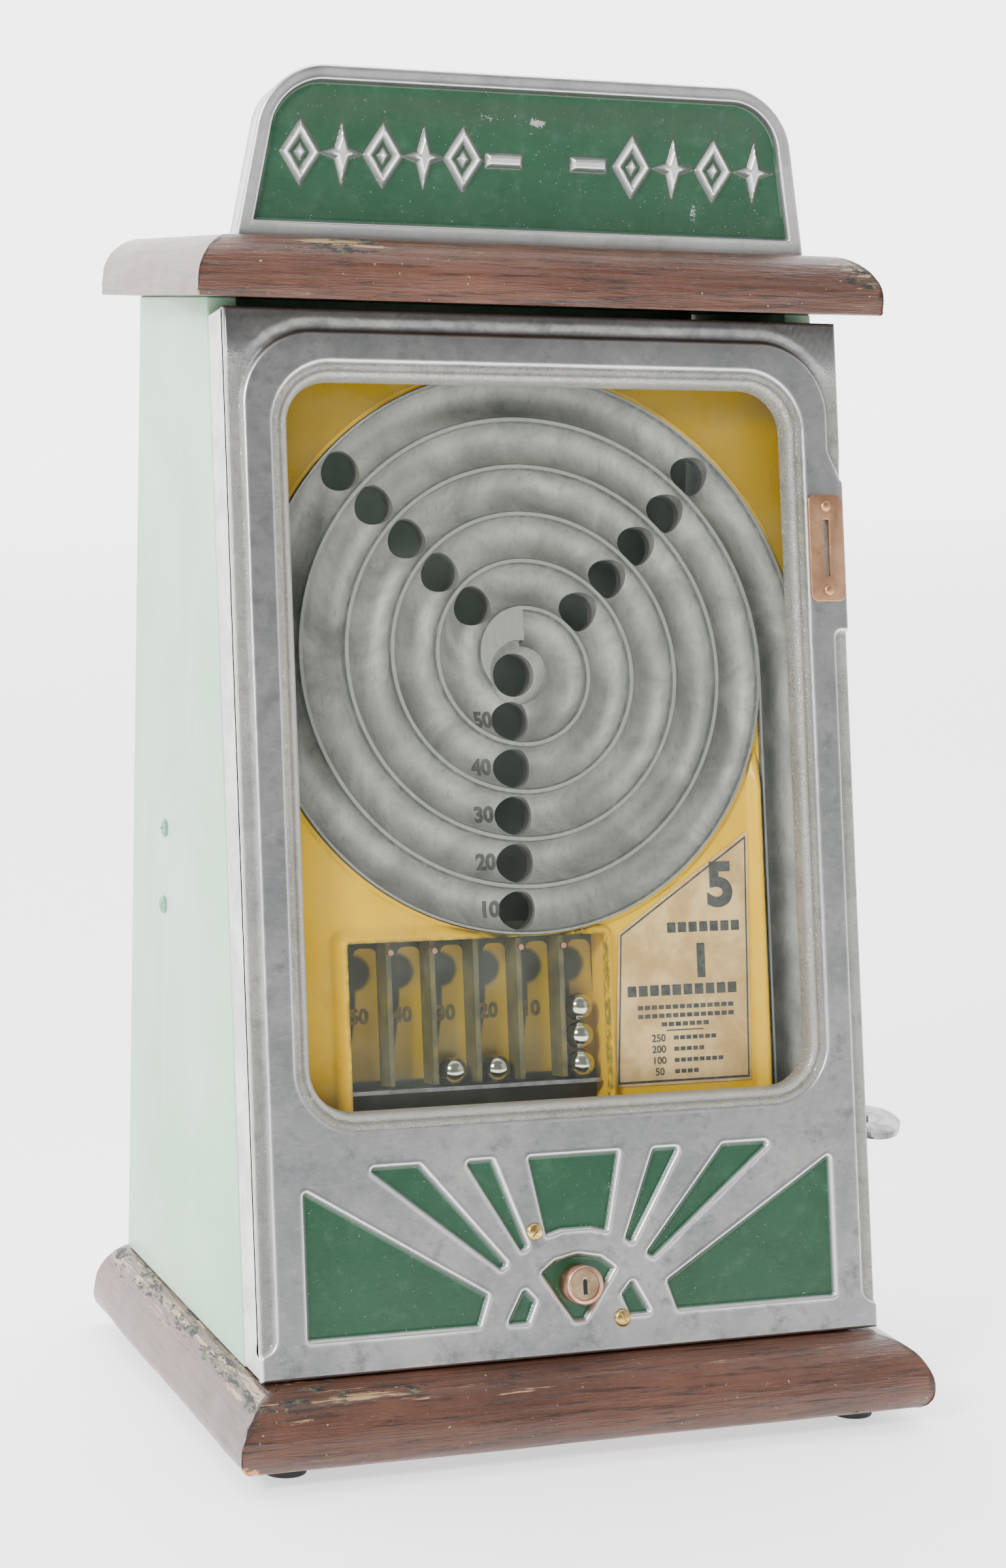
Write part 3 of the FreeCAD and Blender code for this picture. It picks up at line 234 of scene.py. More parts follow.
def track_metal(name):
    """Bare cast aluminium of the spiral: soft, streaked, dark where dirt lies on the ridges, with painted
    shade deep in the holes.
    """
    shade = Shader(name)
    across = shade.times(shade.axis("Y"), COS)
    depth = shade.math("SUBTRACT", shade.math("SUBTRACT", across, shade.times(shade.axis("Z"), SIN)),
                       DOOR_LOW.y * COS - DOOR_LOW.z * SIN)
    ridge = shade.band(depth, (PLAY_FACE + 1.2) * MM, (PLAY_FACE + 3.4) * MM, 1, 0)
    crest = shade.band(depth, (PLAY_FACE + 0.1) * MM, (PLAY_FACE + 0.4) * MM, 1, 0)
    hole = shade.band(depth, (PLAY_FACE + 8.3) * MM, (PLAY_FACE + 11) * MM)
    cloud = shade.noise(30, 6, 0.6, warp=1.0)
    grain = shade.noise(1300, 4, 0.7)
    streak = shade.noise(420, 5, 0.7, shade.stretch((1, 1, 0.3)))
    metal = shade.mix(shade.band(cloud, 0.3, 0.7), (0.15, 0.155, 0.135), (0.30, 0.305, 0.27))
    metal = shade.mix(shade.band(streak, 0.5, 0.75, 0, 0.5), metal, (0.09, 0.095, 0.085))
    metal = shade.mix(shade.band(grain, 0.56, 0.8, 0, 0.6), metal, (0.11, 0.115, 0.105))
    dirt = shade.times(ridge, shade.blend(shade.band(streak, 0.3, 0.6), 0.35, 0.95))
    colour = shade.mix(dirt, metal, (0.045, 0.055, 0.045))
    colour = shade.mix(shade.times(crest, 0.55), colour, (0.27, 0.275, 0.25))
    # Painted shade deep inside the holes.
    colour = shade.mix(shade.times(hole, 0.85), colour, (0.05, 0.05, 0.05))
    rough = shade.blend(shade.band(grain, 0.3, 0.7), 0.48, 0.66)
    normal = shade.bump(grain, 0.28, 0.0003)
    normal = shade.bump(streak, 0.35, 0.0006, normal)
    return shade.finish(colour, rough, shade.blend(dirt, 0.6, 0.1), normal)


def yellow_enamel(name):
    shade = Shader(name)
    dirt = shade.mask("edge")
    cloud = shade.noise(32, 5, 0.6, warp=0.6)
    colour = shade.mix(cloud, (0.50, 0.29, 0.0), (0.70, 0.43, 0.0))
    colour = shade.mix(shade.band(shade.noise(500, 4, 0.6), 0.66, 0.74, 0, 0.7), colour, (0.30, 0.20, 0.02))
    grime = shade.times(dirt, shade.band(shade.noise(260, 5, 0.7), 0.35, 0.6))
    colour = shade.mix(grime, colour, (0.035, 0.05, 0.02))
    # Painted shadow of the door's frame: darker over the top of the board and along its lower left edge.
    colour = shade.mix(shade.mask("painted_frame_shadow"), colour, (0.15, 0.092, 0.0))
    normal = shade.bump(shade.noise(160, 3, 0.5), 0.25, 0.0008)
    return shade.finish(colour, shade.blend(cloud, 0.2, 0.38), 0.0, normal, Specular_IOR_Level=0.3)


def brown_paint(name):
    """Brown paint over wood: grain along each board, black chips, a bare corner."""
    shade = Shader(name)

    def drawn_out(stretch):
        """Coordinates along and across the grain, stretched along it."""
        lay = shade.tree.nodes.new("ShaderNodeCombineXYZ")
        shade.put(lay.inputs[0], shade.times(shade.mask("grain_u"), stretch))
        shade.put(lay.inputs[1], shade.mask("grain_v"))
        return lay.outputs[0]

    grain = drawn_out(0.07)
    lines = shade.noise(420, 5, 0.7, grain, 0.3)
    broad = shade.noise(130, 4, 0.6, grain)
    cloud = shade.noise(18, 5, 0.6)
    corner, wear = shade.mask("corner"), shade.mask("wear")
    colour = shade.mix(shade.band(cloud, 0.3, 0.7), (0.060, 0.022, 0.012), (0.105, 0.040, 0.022))
    colour = shade.mix(shade.band(lines, 0.50, 0.64, 0, 0.8), colour, (0.020, 0.010, 0.008))
    scrape = shade.noise(190, 8, 0.78, drawn_out(0.3))
    tan = shade.band(shade.math("ADD", shade.noise(260, 6, 0.75, grain), shade.times(wear, 0.22)),
                     0.70, 0.74)
    colour = shade.mix(tan, colour, (0.34, 0.22, 0.11))
    chips = shade.band(shade.math("ADD", scrape, shade.times(wear, 0.21)), 0.69, 0.705)
    under = shade.mix(shade.band(shade.noise(210, 4), 0.5, 0.62), (0.008, 0.010, 0.010),
                      (0.09, 0.095, 0.055))
    colour = shade.mix(chips, colour, under)
    bare = shade.band(shade.math("ADD", corner, shade.times(shade.noise(150, 6, 0.7), 0.8)), 1.0, 1.08)
    wood = shade.mix(lines, (0.50, 0.17, 0.05), (0.72, 0.33, 0.13))
    colour = shade.mix(bare, colour, wood)
    speck = shade.band(shade.noise(600, 3), 0.71, 0.73)
    colour = shade.mix(shade.times(speck, 0.75), colour, (0.38, 0.36, 0.27))
    rough = shade.blend(shade.math("MAXIMUM", chips, bare), shade.blend(cloud, 0.24, 0.40), 0.75)
    normal = shade.bump(broad, 0.7, 0.0016)
    normal = shade.bump(lines, 0.7, 0.0011, normal)
    normal = shade.bump(shade.math("MAXIMUM", chips, tan), -0.6, 0.0006, normal)
    normal = shade.bump(shade.noise(900, 4, 0.7), 0.25, 0.0003, normal)
    return shade.finish(colour, rough, 0.0, normal, Coat_Weight=0.10)


def mint_paint(name):
    shade = Shader(name)
    cloud = shade.noise(9, 6, 0.6, warp=0.8)
    streak = shade.noise(55, 5, 0.65, shade.stretch((1, 1, 0.16)))
    colour = shade.mix(shade.band(cloud, 0.3, 0.7), (0.27, 0.46, 0.31), (0.40, 0.60, 0.44))
    colour = shade.mix(shade.band(streak, 0.5, 0.75, 0, 0.28), colour, (0.50, 0.68, 0.54))
    scuff = shade.noise(60, 8, 0.75, shade.stretch((1, 1, 0.22)), 0.4)
    marks = shade.band(scuff, 0.655, 0.69)
    colour = shade.mix(shade.times(marks, 0.8), colour, (0.10, 0.13, 0.08))
    stain = shade.band(shade.noise(38, 7, 0.7), 0.6, 0.75, 0, 0.30)
    colour = shade.mix(stain, colour, (0.36, 0.44, 0.28))
    speck = shade.band(shade.noise(420, 3), 0.72, 0.74)
    colour = shade.mix(shade.times(speck, 0.6), colour, (0.16, 0.2, 0.13))
    normal = shade.bump(streak, 0.16, 0.0009)
    normal = shade.bump(shade.noise(800, 4, 0.6), 0.12, 0.0003, normal)
    return shade.finish(colour, shade.blend(cloud, 0.34, 0.52), 0.0, normal, Coat_Weight=0.06)


def plain_metal(name, dark, light, rough_low, rough_high, scale=120):
    """Brass, copper, steel: cloudy colour, grime in patches and fine scratches."""
    shade = Shader(name)
    cloud = shade.noise(scale, 6, 0.65, warp=0.5)
    scratch = shade.noise(1800, 3, 0.6, shade.stretch((0.3, 1, 1)))
    colour = shade.mix(shade.band(cloud, 0.3, 0.7), dark, light)
    colour = shade.mix(shade.band(shade.noise(scale * 4, 5, 0.7), 0.6, 0.75, 0, 0.55), colour,
                       (0.03, 0.025, 0.02))
    normal = shade.bump(scratch, 0.16, 0.0002)
    return shade.finish(colour, shade.blend(cloud, rough_low, rough_high), 1.0, normal)


def soft_paint(name, dark, light, rough, scale=90, height=0.0004):
    """Rubber, card, ink and painted steel: two tones with a fine tooth."""
    shade = Shader(name)
    cloud = shade.noise(scale, 6, 0.65, warp=0.4)
    fine = shade.noise(1400, 4, 0.7)
    colour = shade.mix(shade.band(cloud, 0.3, 0.7), dark, light)
    colour = shade.mix(shade.band(fine, 0.6, 0.8, 0, 0.3), colour, dark)
    normal = shade.bump(fine, 0.3, height)
    return shade.finish(colour, shade.blend(cloud, rough - 0.08, rough + 0.08), 0.0, normal)


def column_paint(name):
    """Ochre columns behind the glass, with painted shade where the light doesn't reach."""
    shade = Shader(name)
    cloud = shade.noise(60, 5, 0.65, warp=0.5)
    colour = shade.mix(cloud, (0.26, 0.165, 0.0), (0.42, 0.28, 0.0))
    soft = shade.math("ADD", shade.mask("shade"), shade.times(shade.noise(240, 5, 0.7), 0.25))
    colour = shade.mix(shade.band(soft, 0.28, 0.8), colour, (0.022, 0.026, 0.010))
    return shade.finish(colour, shade.blend(cloud, 0.3, 0.5), 0.0, shade.bump(cloud, 0.2, 0.0005))


def bare_wood(name):
    shade = Shader(name)
    rings = shade.noise(240, 5, 0.65, shade.stretch((1, 1, 0.08)), 0.5)
    colour = shade.mix(shade.band(rings, 0.35, 0.7), (0.44, 0.27, 0.13), (0.24, 0.13, 0.055))
    colour = shade.mix(shade.band(shade.noise(30, 5), 0.5, 0.75, 0, 0.4), colour, (0.16, 0.10, 0.05))
    return shade.finish(colour, 0.62, 0.0, shade.bump(rings, 0.35, 0.0006))


def clear_glass(name):
    """Old window glass: nearly clear, a little dust, a faint green."""
    shade = Shader(name)
    dust = shade.noise(40, 7, 0.7, warp=0.4)
    alpha = shade.band(dust, 0.35, 0.8, 0.008, 0.03)
    rough = shade.band(dust, 0.4, 0.8, 0.03, 0.16)
    return shade.finish((0.50, 0.54, 0.50), rough, 0.0, shade.bump(shade.noise(14, 3), 0.04, 0.001),
                        Alpha=alpha)


# ---- mesh helpers ----------------------------------------------------------

@contextlib.contextmanager
def reshaping(mesh):
    """A mesh opened for editing, and written back at the end."""
    shape = bmesh.new()
    shape.from_mesh(mesh)
    yield shape
    shape.to_mesh(mesh)
    shape.free()


def add_object(name, data):
    """A new object, linked into the scene."""
    made = bpy.data.objects.new(name, data)
    bpy.context.scene.collection.objects.link(made)
    return made


def new_piece(name, points, faces, material, body, smooth=True, masks=None):
    """A mesh object from arrays, riding on a CAD body."""
    mesh = bpy.data.meshes.new(name)
    mesh.from_pydata(np.asarray(points).reshape(-1, 3).tolist(), [], np.asarray(faces).tolist()
                     if isinstance(faces, np.ndarray) else faces)
    for mask, values in (masks or {}).items():
        mesh.attributes.new(mask, "FLOAT",
                            "POINT").data.foreach_set("value", np.ravel(values).astype(np.float32))
    if smooth:
        mesh.shade_smooth()
    mesh.update()
    piece = add_object(name, mesh)
    mesh.materials.append(material)
    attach(piece, body)
    return piece


def step(value, low, high):
    """Smooth step from 0 at low to 1 at high."""
    share = np.clip((value - low) / (high - low), 0, 1)
    return share * share * (3 - 2 * share)


def bell(value, centre, width):
    """A bump of height 1 about a centre."""
    return np.exp(-((value - centre) / width) ** 2)


def ripple(x, z, size, seed):
    """Smooth noise of about one unit, made from sines, for cast and painted surfaces."""
    rng = np.random.default_rng(seed)
    total = np.zeros(np.broadcast(x, z).shape)
    for octave in range(4):
        for _ in range(4):
            angle, phase = rng.uniform(0, 2 * np.pi, 2)
            wave = 2 * np.pi / (size / 2 ** octave) * rng.uniform(0.7, 1.3)
            total += np.sin((x * np.cos(angle) + z * np.sin(angle)) * wave + phase) / (4 * 1.7 ** octave)
    return total


def rounded_box(x, z, low_x, high_x, low_z, high_z, radius):
    """Signed distance to a rectangle with round corners, negative inside."""
    across = np.abs(x - (low_x + high_x) / 2) - (high_x - low_x) / 2 + radius
    up = np.abs(z - (low_z + high_z) / 2) - (high_z - low_z) / 2 + radius
    outside = np.hypot(np.maximum(across, 0), np.maximum(up, 0))
    return outside + np.minimum(np.maximum(across, up), 0) - radius


def polygon(x, z, corners):
    """Signed distance to a polygon, negative inside."""
    nearest = np.full(x.shape, np.inf)
    inside = np.zeros(x.shape, bool)
    for (ax, az), (bx, bz) in zip(corners, corners[1:] + corners[:1]):
        ex, ez = bx - ax, bz - az
        share = np.clip(((x - ax) * ex + (z - az) * ez) / (ex * ex + ez * ez), 0, 1)
        nearest = np.minimum(nearest, np.hypot(x - ax - share * ex, z - az - share * ez))
        rise = bz - az if bz != az else 1e-9
        crosses = ((az > z) != (bz > z)) & (x < (bx - ax) * (z - az) / rise + ax)
        inside ^= crosses
    return np.where(inside, -nearest, nearest)


def inset(corners, by):
    """A polygon's corners moved inward, so that growing it again rounds them."""
    area = sum(ax * bz - bx * az for (ax, az), (bx, bz) in zip(corners, corners[1:] + corners[:1]))
    lines = []
    for (ax, az), (bx, bz) in zip(corners, corners[1:] + corners[:1]):
        length = math.hypot(bx - ax, bz - az) * (1 if area > 0 else -1)
        nx, nz = -(bz - az) / length, (bx - ax) / length
        lines.append((nx, nz, nx * ax + nz * az + by))
    moved = []
    for (ax, az, a), (bx, bz, b) in zip(lines[-1:] + lines[:-1], lines):
        cross = ax * bz - bx * az
        moved.append(((a * bz - b * az) / cross, (ax * b - bx * a) / cross))
    return moved


def round_min(first, second, radius):
    """The lesser of two inside distances, with the corner between them rounded."""
    return radius - np.hypot(np.maximum(radius - first, 0), np.maximum(radius - second, 0))


def grid(low_x, high_x, low_z, high_z, pitch):
    xs = np.linspace(low_x, high_x, int(round((high_x - low_x) / pitch)) + 1)
    zs = np.linspace(low_z, high_z, int(round((high_z - low_z) / pitch)) + 1)
    return np.meshgrid(xs, zs)


def snap(x, z, distance, reach):
    """Grid points near the outline of a hole, moved onto it."""
    x, z = x.copy(), z.copy()
    for _ in range(2):
        value = distance(x, z)
        gx = (distance(x + 0.01, z) - value) / 0.01
        gz = (distance(x, z + 0.01) - value) / 0.01
        near = np.abs(value) < reach
        x = np.where(near, x - value * gx, x)
        z = np.where(near, z - value * gz, z)
    return x, z


def grid_faces(keep):
    """Quads between grid points, facing the front, where all four corners are kept."""
    rows, columns = keep.shape
    index = np.arange(rows * columns).reshape(rows, columns)
    quads = np.stack([index[:-1, :-1], index[:-1, 1:], index[1:, 1:], index[1:, :-1]], axis=-1)
    kept = keep[:-1, :-1] & keep[:-1, 1:] & keep[1:, 1:] & keep[1:, :-1]
    return quads[kept]


def full_grid(shape, first=0):
    """Quads between all the points of a grid, numbered from first."""
    return (grid_faces(np.ones(shape, bool)) + first).tolist()


def rim_of(rows, columns):
    """The grid's outer points in order, as flat indices."""
    order = [(0, k) for k in range(columns)] + [(r, columns - 1) for r in range(1, rows)]
    order += [(rows - 1, k) for k in range(columns - 2, -1, -1)] + [(r, 0) for r in range(rows - 2, 0, -1)]
    return [r * columns + k for r, k in order]


def walled(name, shape, points, back, material, body, masks=None):
    """A closed piece from a gridded front: its rim drops to the matching points of a flat back."""
    rows, columns = shape
    front = np.asarray(points).reshape(-1, 3)
    rim = rim_of(rows, columns)
    count, base = len(rim), len(front)
    faces = full_grid(shape)
    faces += [(rim[k], base + k, base + (k + 1) % count, rim[(k + 1) % count]) for k in range(count)]
    faces.append(tuple(base + k for k in range(count))[::-1])
    filled = {mask: np.concatenate([np.ravel(values), np.zeros(count)]) for mask,
              values in (masks or {}).items()}
    piece = new_piece(name, np.vstack([front, np.asarray(back).reshape(-1, 3)[rim]]), faces, material, body,
                      masks=filled)
    mark_sharp(piece, 48)
    return piece


def drop_loose(piece):
    with reshaping(piece.data) as shape:
        bmesh.ops.delete(shape, geom=[vertex for vertex in shape.verts if not vertex.link_faces],
                         context="VERTS")


def lathe(name, profile, place, material, body, segments=48):
    """A turned piece: (radius, height) pairs in mm, put in place by a matrix in metres."""
    radius, height = np.array(profile, float).T
    angle = np.linspace(0, 2 * np.pi, segments, endpoint=False)
    ring = np.stack([np.outer(radius, np.cos(angle)), np.outer(radius, np.sin(angle)),
                     np.repeat(height[:, None], segments, 1)], axis=-1).reshape(-1, 3) * MM
    faces = [(i * segments + k, i * segments + (k + 1) % segments, (i + 1) * segments + (k + 1) % segments,
              (i + 1) * segments + k) for i in range(len(profile) - 1) for k in range(segments)]
    points = ring @ np.array(place)[:3, :3].T + np.array(place)[:3, 3]
    piece = new_piece(name, points, faces, material, body)
    mark_sharp(piece, 35)
    return piece


def mark_sharp(piece, degrees):
    """Smooth shading with creases where faces meet at more than an angle."""
    with reshaping(piece.data) as shape:
        bmesh.ops.remove_doubles(shape, verts=shape.verts, dist=1e-7)
        bmesh.ops.recalc_face_normals(shape, faces=shape.faces)
        for edge in shape.edges:
            if len(edge.link_faces) == 2:
                edge.smooth = edge.calc_face_angle(0) < math.radians(degrees)


def front_place(x, d, z):
    """A matrix whose z axis points out of the door at a place in the slope frame."""
    return SLOPE @ Matrix.Translation(Vector((x, d, z)) * MM) @ Matrix.Rotation(math.pi / 2, 4, "X")


def softened(node, name, width, material, body, segments=2):
    """A copy of a CAD node with its flat faces merged and its edges rounded."""
    mesh = frame["nodes"][node].data.copy()
    mesh.materials.clear()
    piece = add_object(name, mesh)
    with reshaping(mesh) as shape:
        bmesh.ops.remove_doubles(shape, verts=shape.verts, dist=1e-6)
        bmesh.ops.dissolve_limit(shape, angle_limit=math.radians(0.5), verts=shape.verts, edges=shape.edges)
    add_bevel(piece, width, segments, 32)
    mesh.shade_smooth()
    mesh.materials.append(material)
    apply_modifiers(piece)
    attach(piece, body)
    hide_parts(node)
    return piece


def add_bevel(piece, width, segments, degrees):
    """A bevel some millimetres wide on edges sharper than an angle."""
    bevel = piece.modifiers.new("bevel", "BEVEL")
    bevel.width, bevel.segments, bevel.limit_method = width * MM, segments, "ANGLE"
    bevel.angle_limit = math.radians(degrees)
    bevel.harden_normals = True


def apply_modifiers(piece):
    """The piece's mesh as its modifiers leave it."""
    bpy.context.view_layer.update()
    evaluated = piece.evaluated_get(bpy.context.evaluated_depsgraph_get())
    mesh = bpy.data.meshes.new_from_object(evaluated)
    piece.modifiers.clear()
    piece.data = mesh


# ---- door ------------------------------------------------------------------

WINDOW = (-102.5, 102.5, 97.0, 371.5, 17.0)
BEAD = 7.5
ROLL_START = 3.9  # how far into the bead its roll down to the glass begins
EDGE_ROUND = 1.3  # rounding of the casting's outline
FACE_LAP = 2.4  # how far the face's rim turns back
SHELL_FRONT = 2.7  # just behind that rim, so that the two sheets stay apart
WALL, FOOT = 8, 12  # thickness of the casting's sides and of its lower edge
BAND_SIDE = HALF - 6.5
BAND_TOP = DOOR_TALL - 9.5
STRIP_LOW = 9.0
BOSS = (276.0, 337.0)
RAY_SIDE = ([(-108.8, 70), (-108.8, 13.5), (-40.5, 13.5), (-36.3, 25.5)],
            [(-84.6, 76.5), (-62.2, 76.5), (-28, 36.4), (-31.4, 34)],
            [(-44.9, 76.5), (-32.8, 76.5), (-19.6, 42.6), (-22.8, 40)],
            [(-30.3, 13.2), (-20.8, 13.2), (-17.2, 21.6), (-22.4, 27.4)])
RAY_CENTRE = ([(-19.2, 76.5), (19.2, 76.5), (12.8, 45.6), (6, 47.4), (-6, 47.4), (-12.8, 45.6)],
              [(-15.6, 32), (-9.5, 36.6), (0, 38.4), (9.5, 36.6), (15.6, 32), (2.4, 12.6), (-2.4, 12.6)])


def window_distance(x, z):
    """Distance outside the window's opening."""
    return rounded_box(x, z, *WINDOW)


def sunburst_distance(x, z):
    """Distance to the nearest enamelled recess, negative inside it, corners rounded."""
    shapes = list(RAY_CENTRE)
    for corners in RAY_SIDE:
        shapes += [corners, [(-across, up) for across, up in corners]]
    distance = np.full(x.shape, np.inf)
    for corners in shapes:
        rounding = 1.1 if min(abs(across) for across, _ in corners) < 3 or len(corners) > 4 else 1.5
        distance = np.minimum(distance, polygon(x, z, inset(corners, rounding)) - rounding)
    return distance


def strip_distance(x, z):
    """Distance into the sunk strip outside the raised band; the coin plate's boss breaks it."""
    band = rounded_box(x, z, -BAND_SIDE, BAND_SIDE, -80, BAND_TOP, 28)
    strip = round_min(band, z - STRIP_LOW, 7)
    low, high = BOSS
    point = ((x - BAND_SIDE) * 10 + (z - high - 10) * 4.25) / 10.87
    above = np.maximum(np.minimum(point, z - high + 2), z - high - 24)
    below = round_min(band, low - z, 3)
    middle = (low + high) / 2
    return np.where(x < 0, strip, np.minimum(strip, np.where(z > middle, above, below)))


def door_depth(x, z):
    """How far the cast face lies behind the door's front plane, in mm, with the masks for its colours."""
    outside = strip_distance(x, z)
    depth = 2.2 * step(outside, -0.3, 1.7) - 0.9 * step(outside, 2.2, 6.5)
    into = BEAD - window_distance(x, z)
    roll = np.clip((into - ROLL_START) / (BEAD - ROLL_START), 0, 1)
    depth += 0.9 * step(into, -0.1, 0.9) - 0.55 * bell(into, 2.1, 0.8)
    depth += 0.6 * bell(into, 3.6, 0.5)
    depth += (GLASS_FACE - 1.0) * (1 - np.sqrt(np.maximum(1 - roll ** 2.3, 0)))
    recess = sunburst_distance(x, z)
    depth += 1.9 * step(-recess, -0.25, 1.2)
    depth -= 0.22 * bell(recess, 0.5, 0.5)
    depth += 0.06 * ripple(x, z, 60, 1) + 0.06 * ripple(x, z, 5,
                                                        2) * (step(into, 0, 1) + step(outside, 0, 1))
    rim = np.maximum(np.abs(x) - HALF, np.maximum(z - DOOR_TALL, -z)) + EDGE_ROUND
    depth += EDGE_ROUND * (1 - np.sqrt(np.clip(1 - np.clip(rim / EDGE_ROUND, 0, 1) ** 2, 0, 1)))
    gritty = bell(recess, -1.4, 1.2) * 0.30
    masks = {"enamel": step(-recess, 0.2, 0.9),
             "cream": np.maximum(step(into, 0.7, 1.5), 0.45 * step(outside, 0.4, 2.0))
             * (1 - step(z, DOOR_TALL - 32, DOOR_TALL - 12)),
             "edge": bell(recess, 0.3, 0.5) + bell(into, -0.1, 0.45) * 0.9
             + bell(into, 5.6, 1.1) * 0.55 + bell(outside, -0.1, 0.45) * 0.8
             + step(rim, 0.2, 1.0) * 0.6 + gritty,
             # painted shade: a shadow under the cap along the door's top, and shade in the window bead's
             # groove
             "painted_shade": step(z, DOOR_TALL - 20, DOOR_TALL - 1) * 0.75 + 0.35 * bell(into, 3.6, 0.5)}
    return depth, masks


def deepen_rim(piece, drop=5.0, outermost=False):
    """Give an open sheet an edge: its outline, or only its outermost part, drops back by drop mm."""
    with reshaping(piece.data) as shape:
        edges = [edge for edge in shape.edges if edge.is_boundary]
        if outermost:
            limit = max(abs(vert.co.x - MIDDLE) for vert in shape.verts) - 0.4 * MM
            low, high = min(vert.co.z for vert in shape.verts), max(vert.co.z for vert in shape.verts)
            edges = [edge for edge in edges if abs(edge.verts[0].co.x - MIDDLE) > limit
                     or not low + 3 * MM < edge.verts[0].co.z < high - 3 * MM]
        made = bmesh.ops.extrude_edge_only(shape, edges=edges)
        for item in made["geom"]:
            if isinstance(item, bmesh.types.BMVert):
                item.co += Vector((0, COS, -SIN)) * drop * MM


def make_door():
    x, z = grid(-HALF, HALF, 0, DOOR_TALL, 0.55)
    x, z = snap(x, z, window_distance, 0.42)
    depth, masks = door_depth(x, z)
    keep = window_distance(x, z) > -0.2
    faces = grid_faces(keep)
    front = new_piece("door_face", on_slope(x, depth, z), faces, CAST, "door", masks=masks)
    drop_loose(front)
    deepen_rim(front, FACE_LAP, outermost=True)
    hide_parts("door_casting")
    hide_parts("enamel_inlays")
    make_door_shell()


def box_ring(outer, inner, low, high):
    """Points and faces of a square tube: outer and inner are (low x, high x, low z, high z)."""
    corners = []
    for left, right, bottom, top in (outer, inner):
        corners.append([(left, bottom), (right, bottom), (right, top), (left, top)])
    points = [(px, level, pz) for level in (low, high) for ring in corners for px, pz in ring]
    faces = []
    for k in range(4):
        n = (k + 1) % 4
        faces += [(k, n, 8 + n, 8 + k), (4 + n, 4 + k, 12 + k, 12 + n), (n, k, 4 + k, 4 + n),
                  (8 + k, 8 + n, 12 + n, 12 + k)]
    return points, faces


def make_door_shell():
    """The casting's returns and hollow back, which show with the door open and from the side."""
    half, tall = HALF, DOOR_TALL
    hollow = (-half + WALL, half - WALL, FOOT, tall - WALL)
    points, faces = box_ring((-half, half, 0, tall), hollow, SHELL_FRONT, DOOR_DEEP)
    points = [(px, d, d * math.tan(TILT) if pz == 0 else pz) for px, d, pz in points]
    shell = new_piece("door_returns", on_slope(*np.array(points).T), faces, CAST_SIDE, "door")
    round_corners(shell, 0.8)
    x, z = grid(*hollow, 2.0)
    x, z = snap(x, z, window_distance, 1.4)
    back = new_piece("door_back", on_slope(x, np.full(x.shape, GLASS_FACE - 0.02), z),
                     grid_faces(window_distance(x, z) > -0.5)[:, ::-1], CAST_SIDE, "door")
    drop_loose(back)


def round_corners(piece, width):
    """A piece's sharp edges rounded over some millimetres."""
    add_bevel(piece, width, 2, 35)
    mark_sharp(piece, 180)
    apply_modifiers(piece)


# ---- sign ------------------------------------------------------------------

def lozenge(x, z, centre, middle, wide, tall):
    """Signed distance to a diamond."""
    return (np.abs(x - centre) * tall + np.abs(z - middle) * wide - wide * tall) / math.hypot(wide, tall)


def motif(x, z, centre, middle, kind):
    """One raised ornament: a hollow diamond with a stud, or a four-pointed star."""
    if kind:
        frame_line = np.abs(lozenge(x, z, centre, middle, 6.0, 9.2)) - 1.3
        return np.minimum(frame_line, lozenge(x, z, centre, middle, 1.9, 2.6))
    upright = lozenge(x, z, centre, middle, 2.9, 10.4)
    return np.minimum(upright, lozenge(x, z, centre, middle, 7.4, 2.6))


def marks_distance(x, z, middle):
    """Raised ornaments in the place of lettering, in two groups, with a short bar inside each."""
    distance = np.full(x.shape, np.inf)
    for index, centre in enumerate((-93, -76.5, -60, -43.5, -27.5, 43, 60.5, 78, 95.5)):
        distance = np.minimum(distance, motif(x, z, centre, middle, index % 2 == (0 if index < 5 else 1)))
    for centre in (-10.7, 24.7):
        bar = rounded_box(x, z, centre - 7.2, centre + 7.2, middle - 2.4, middle + 2.4, 0.3)
        distance = np.minimum(distance, bar)
    return distance


SIGN_LEAN, SIGN_ROUND, SIGN_RIM, SIGN_ROLL = 11.6, 23.0, 5.6, 1.8
MARKS_LEVEL = 32.0


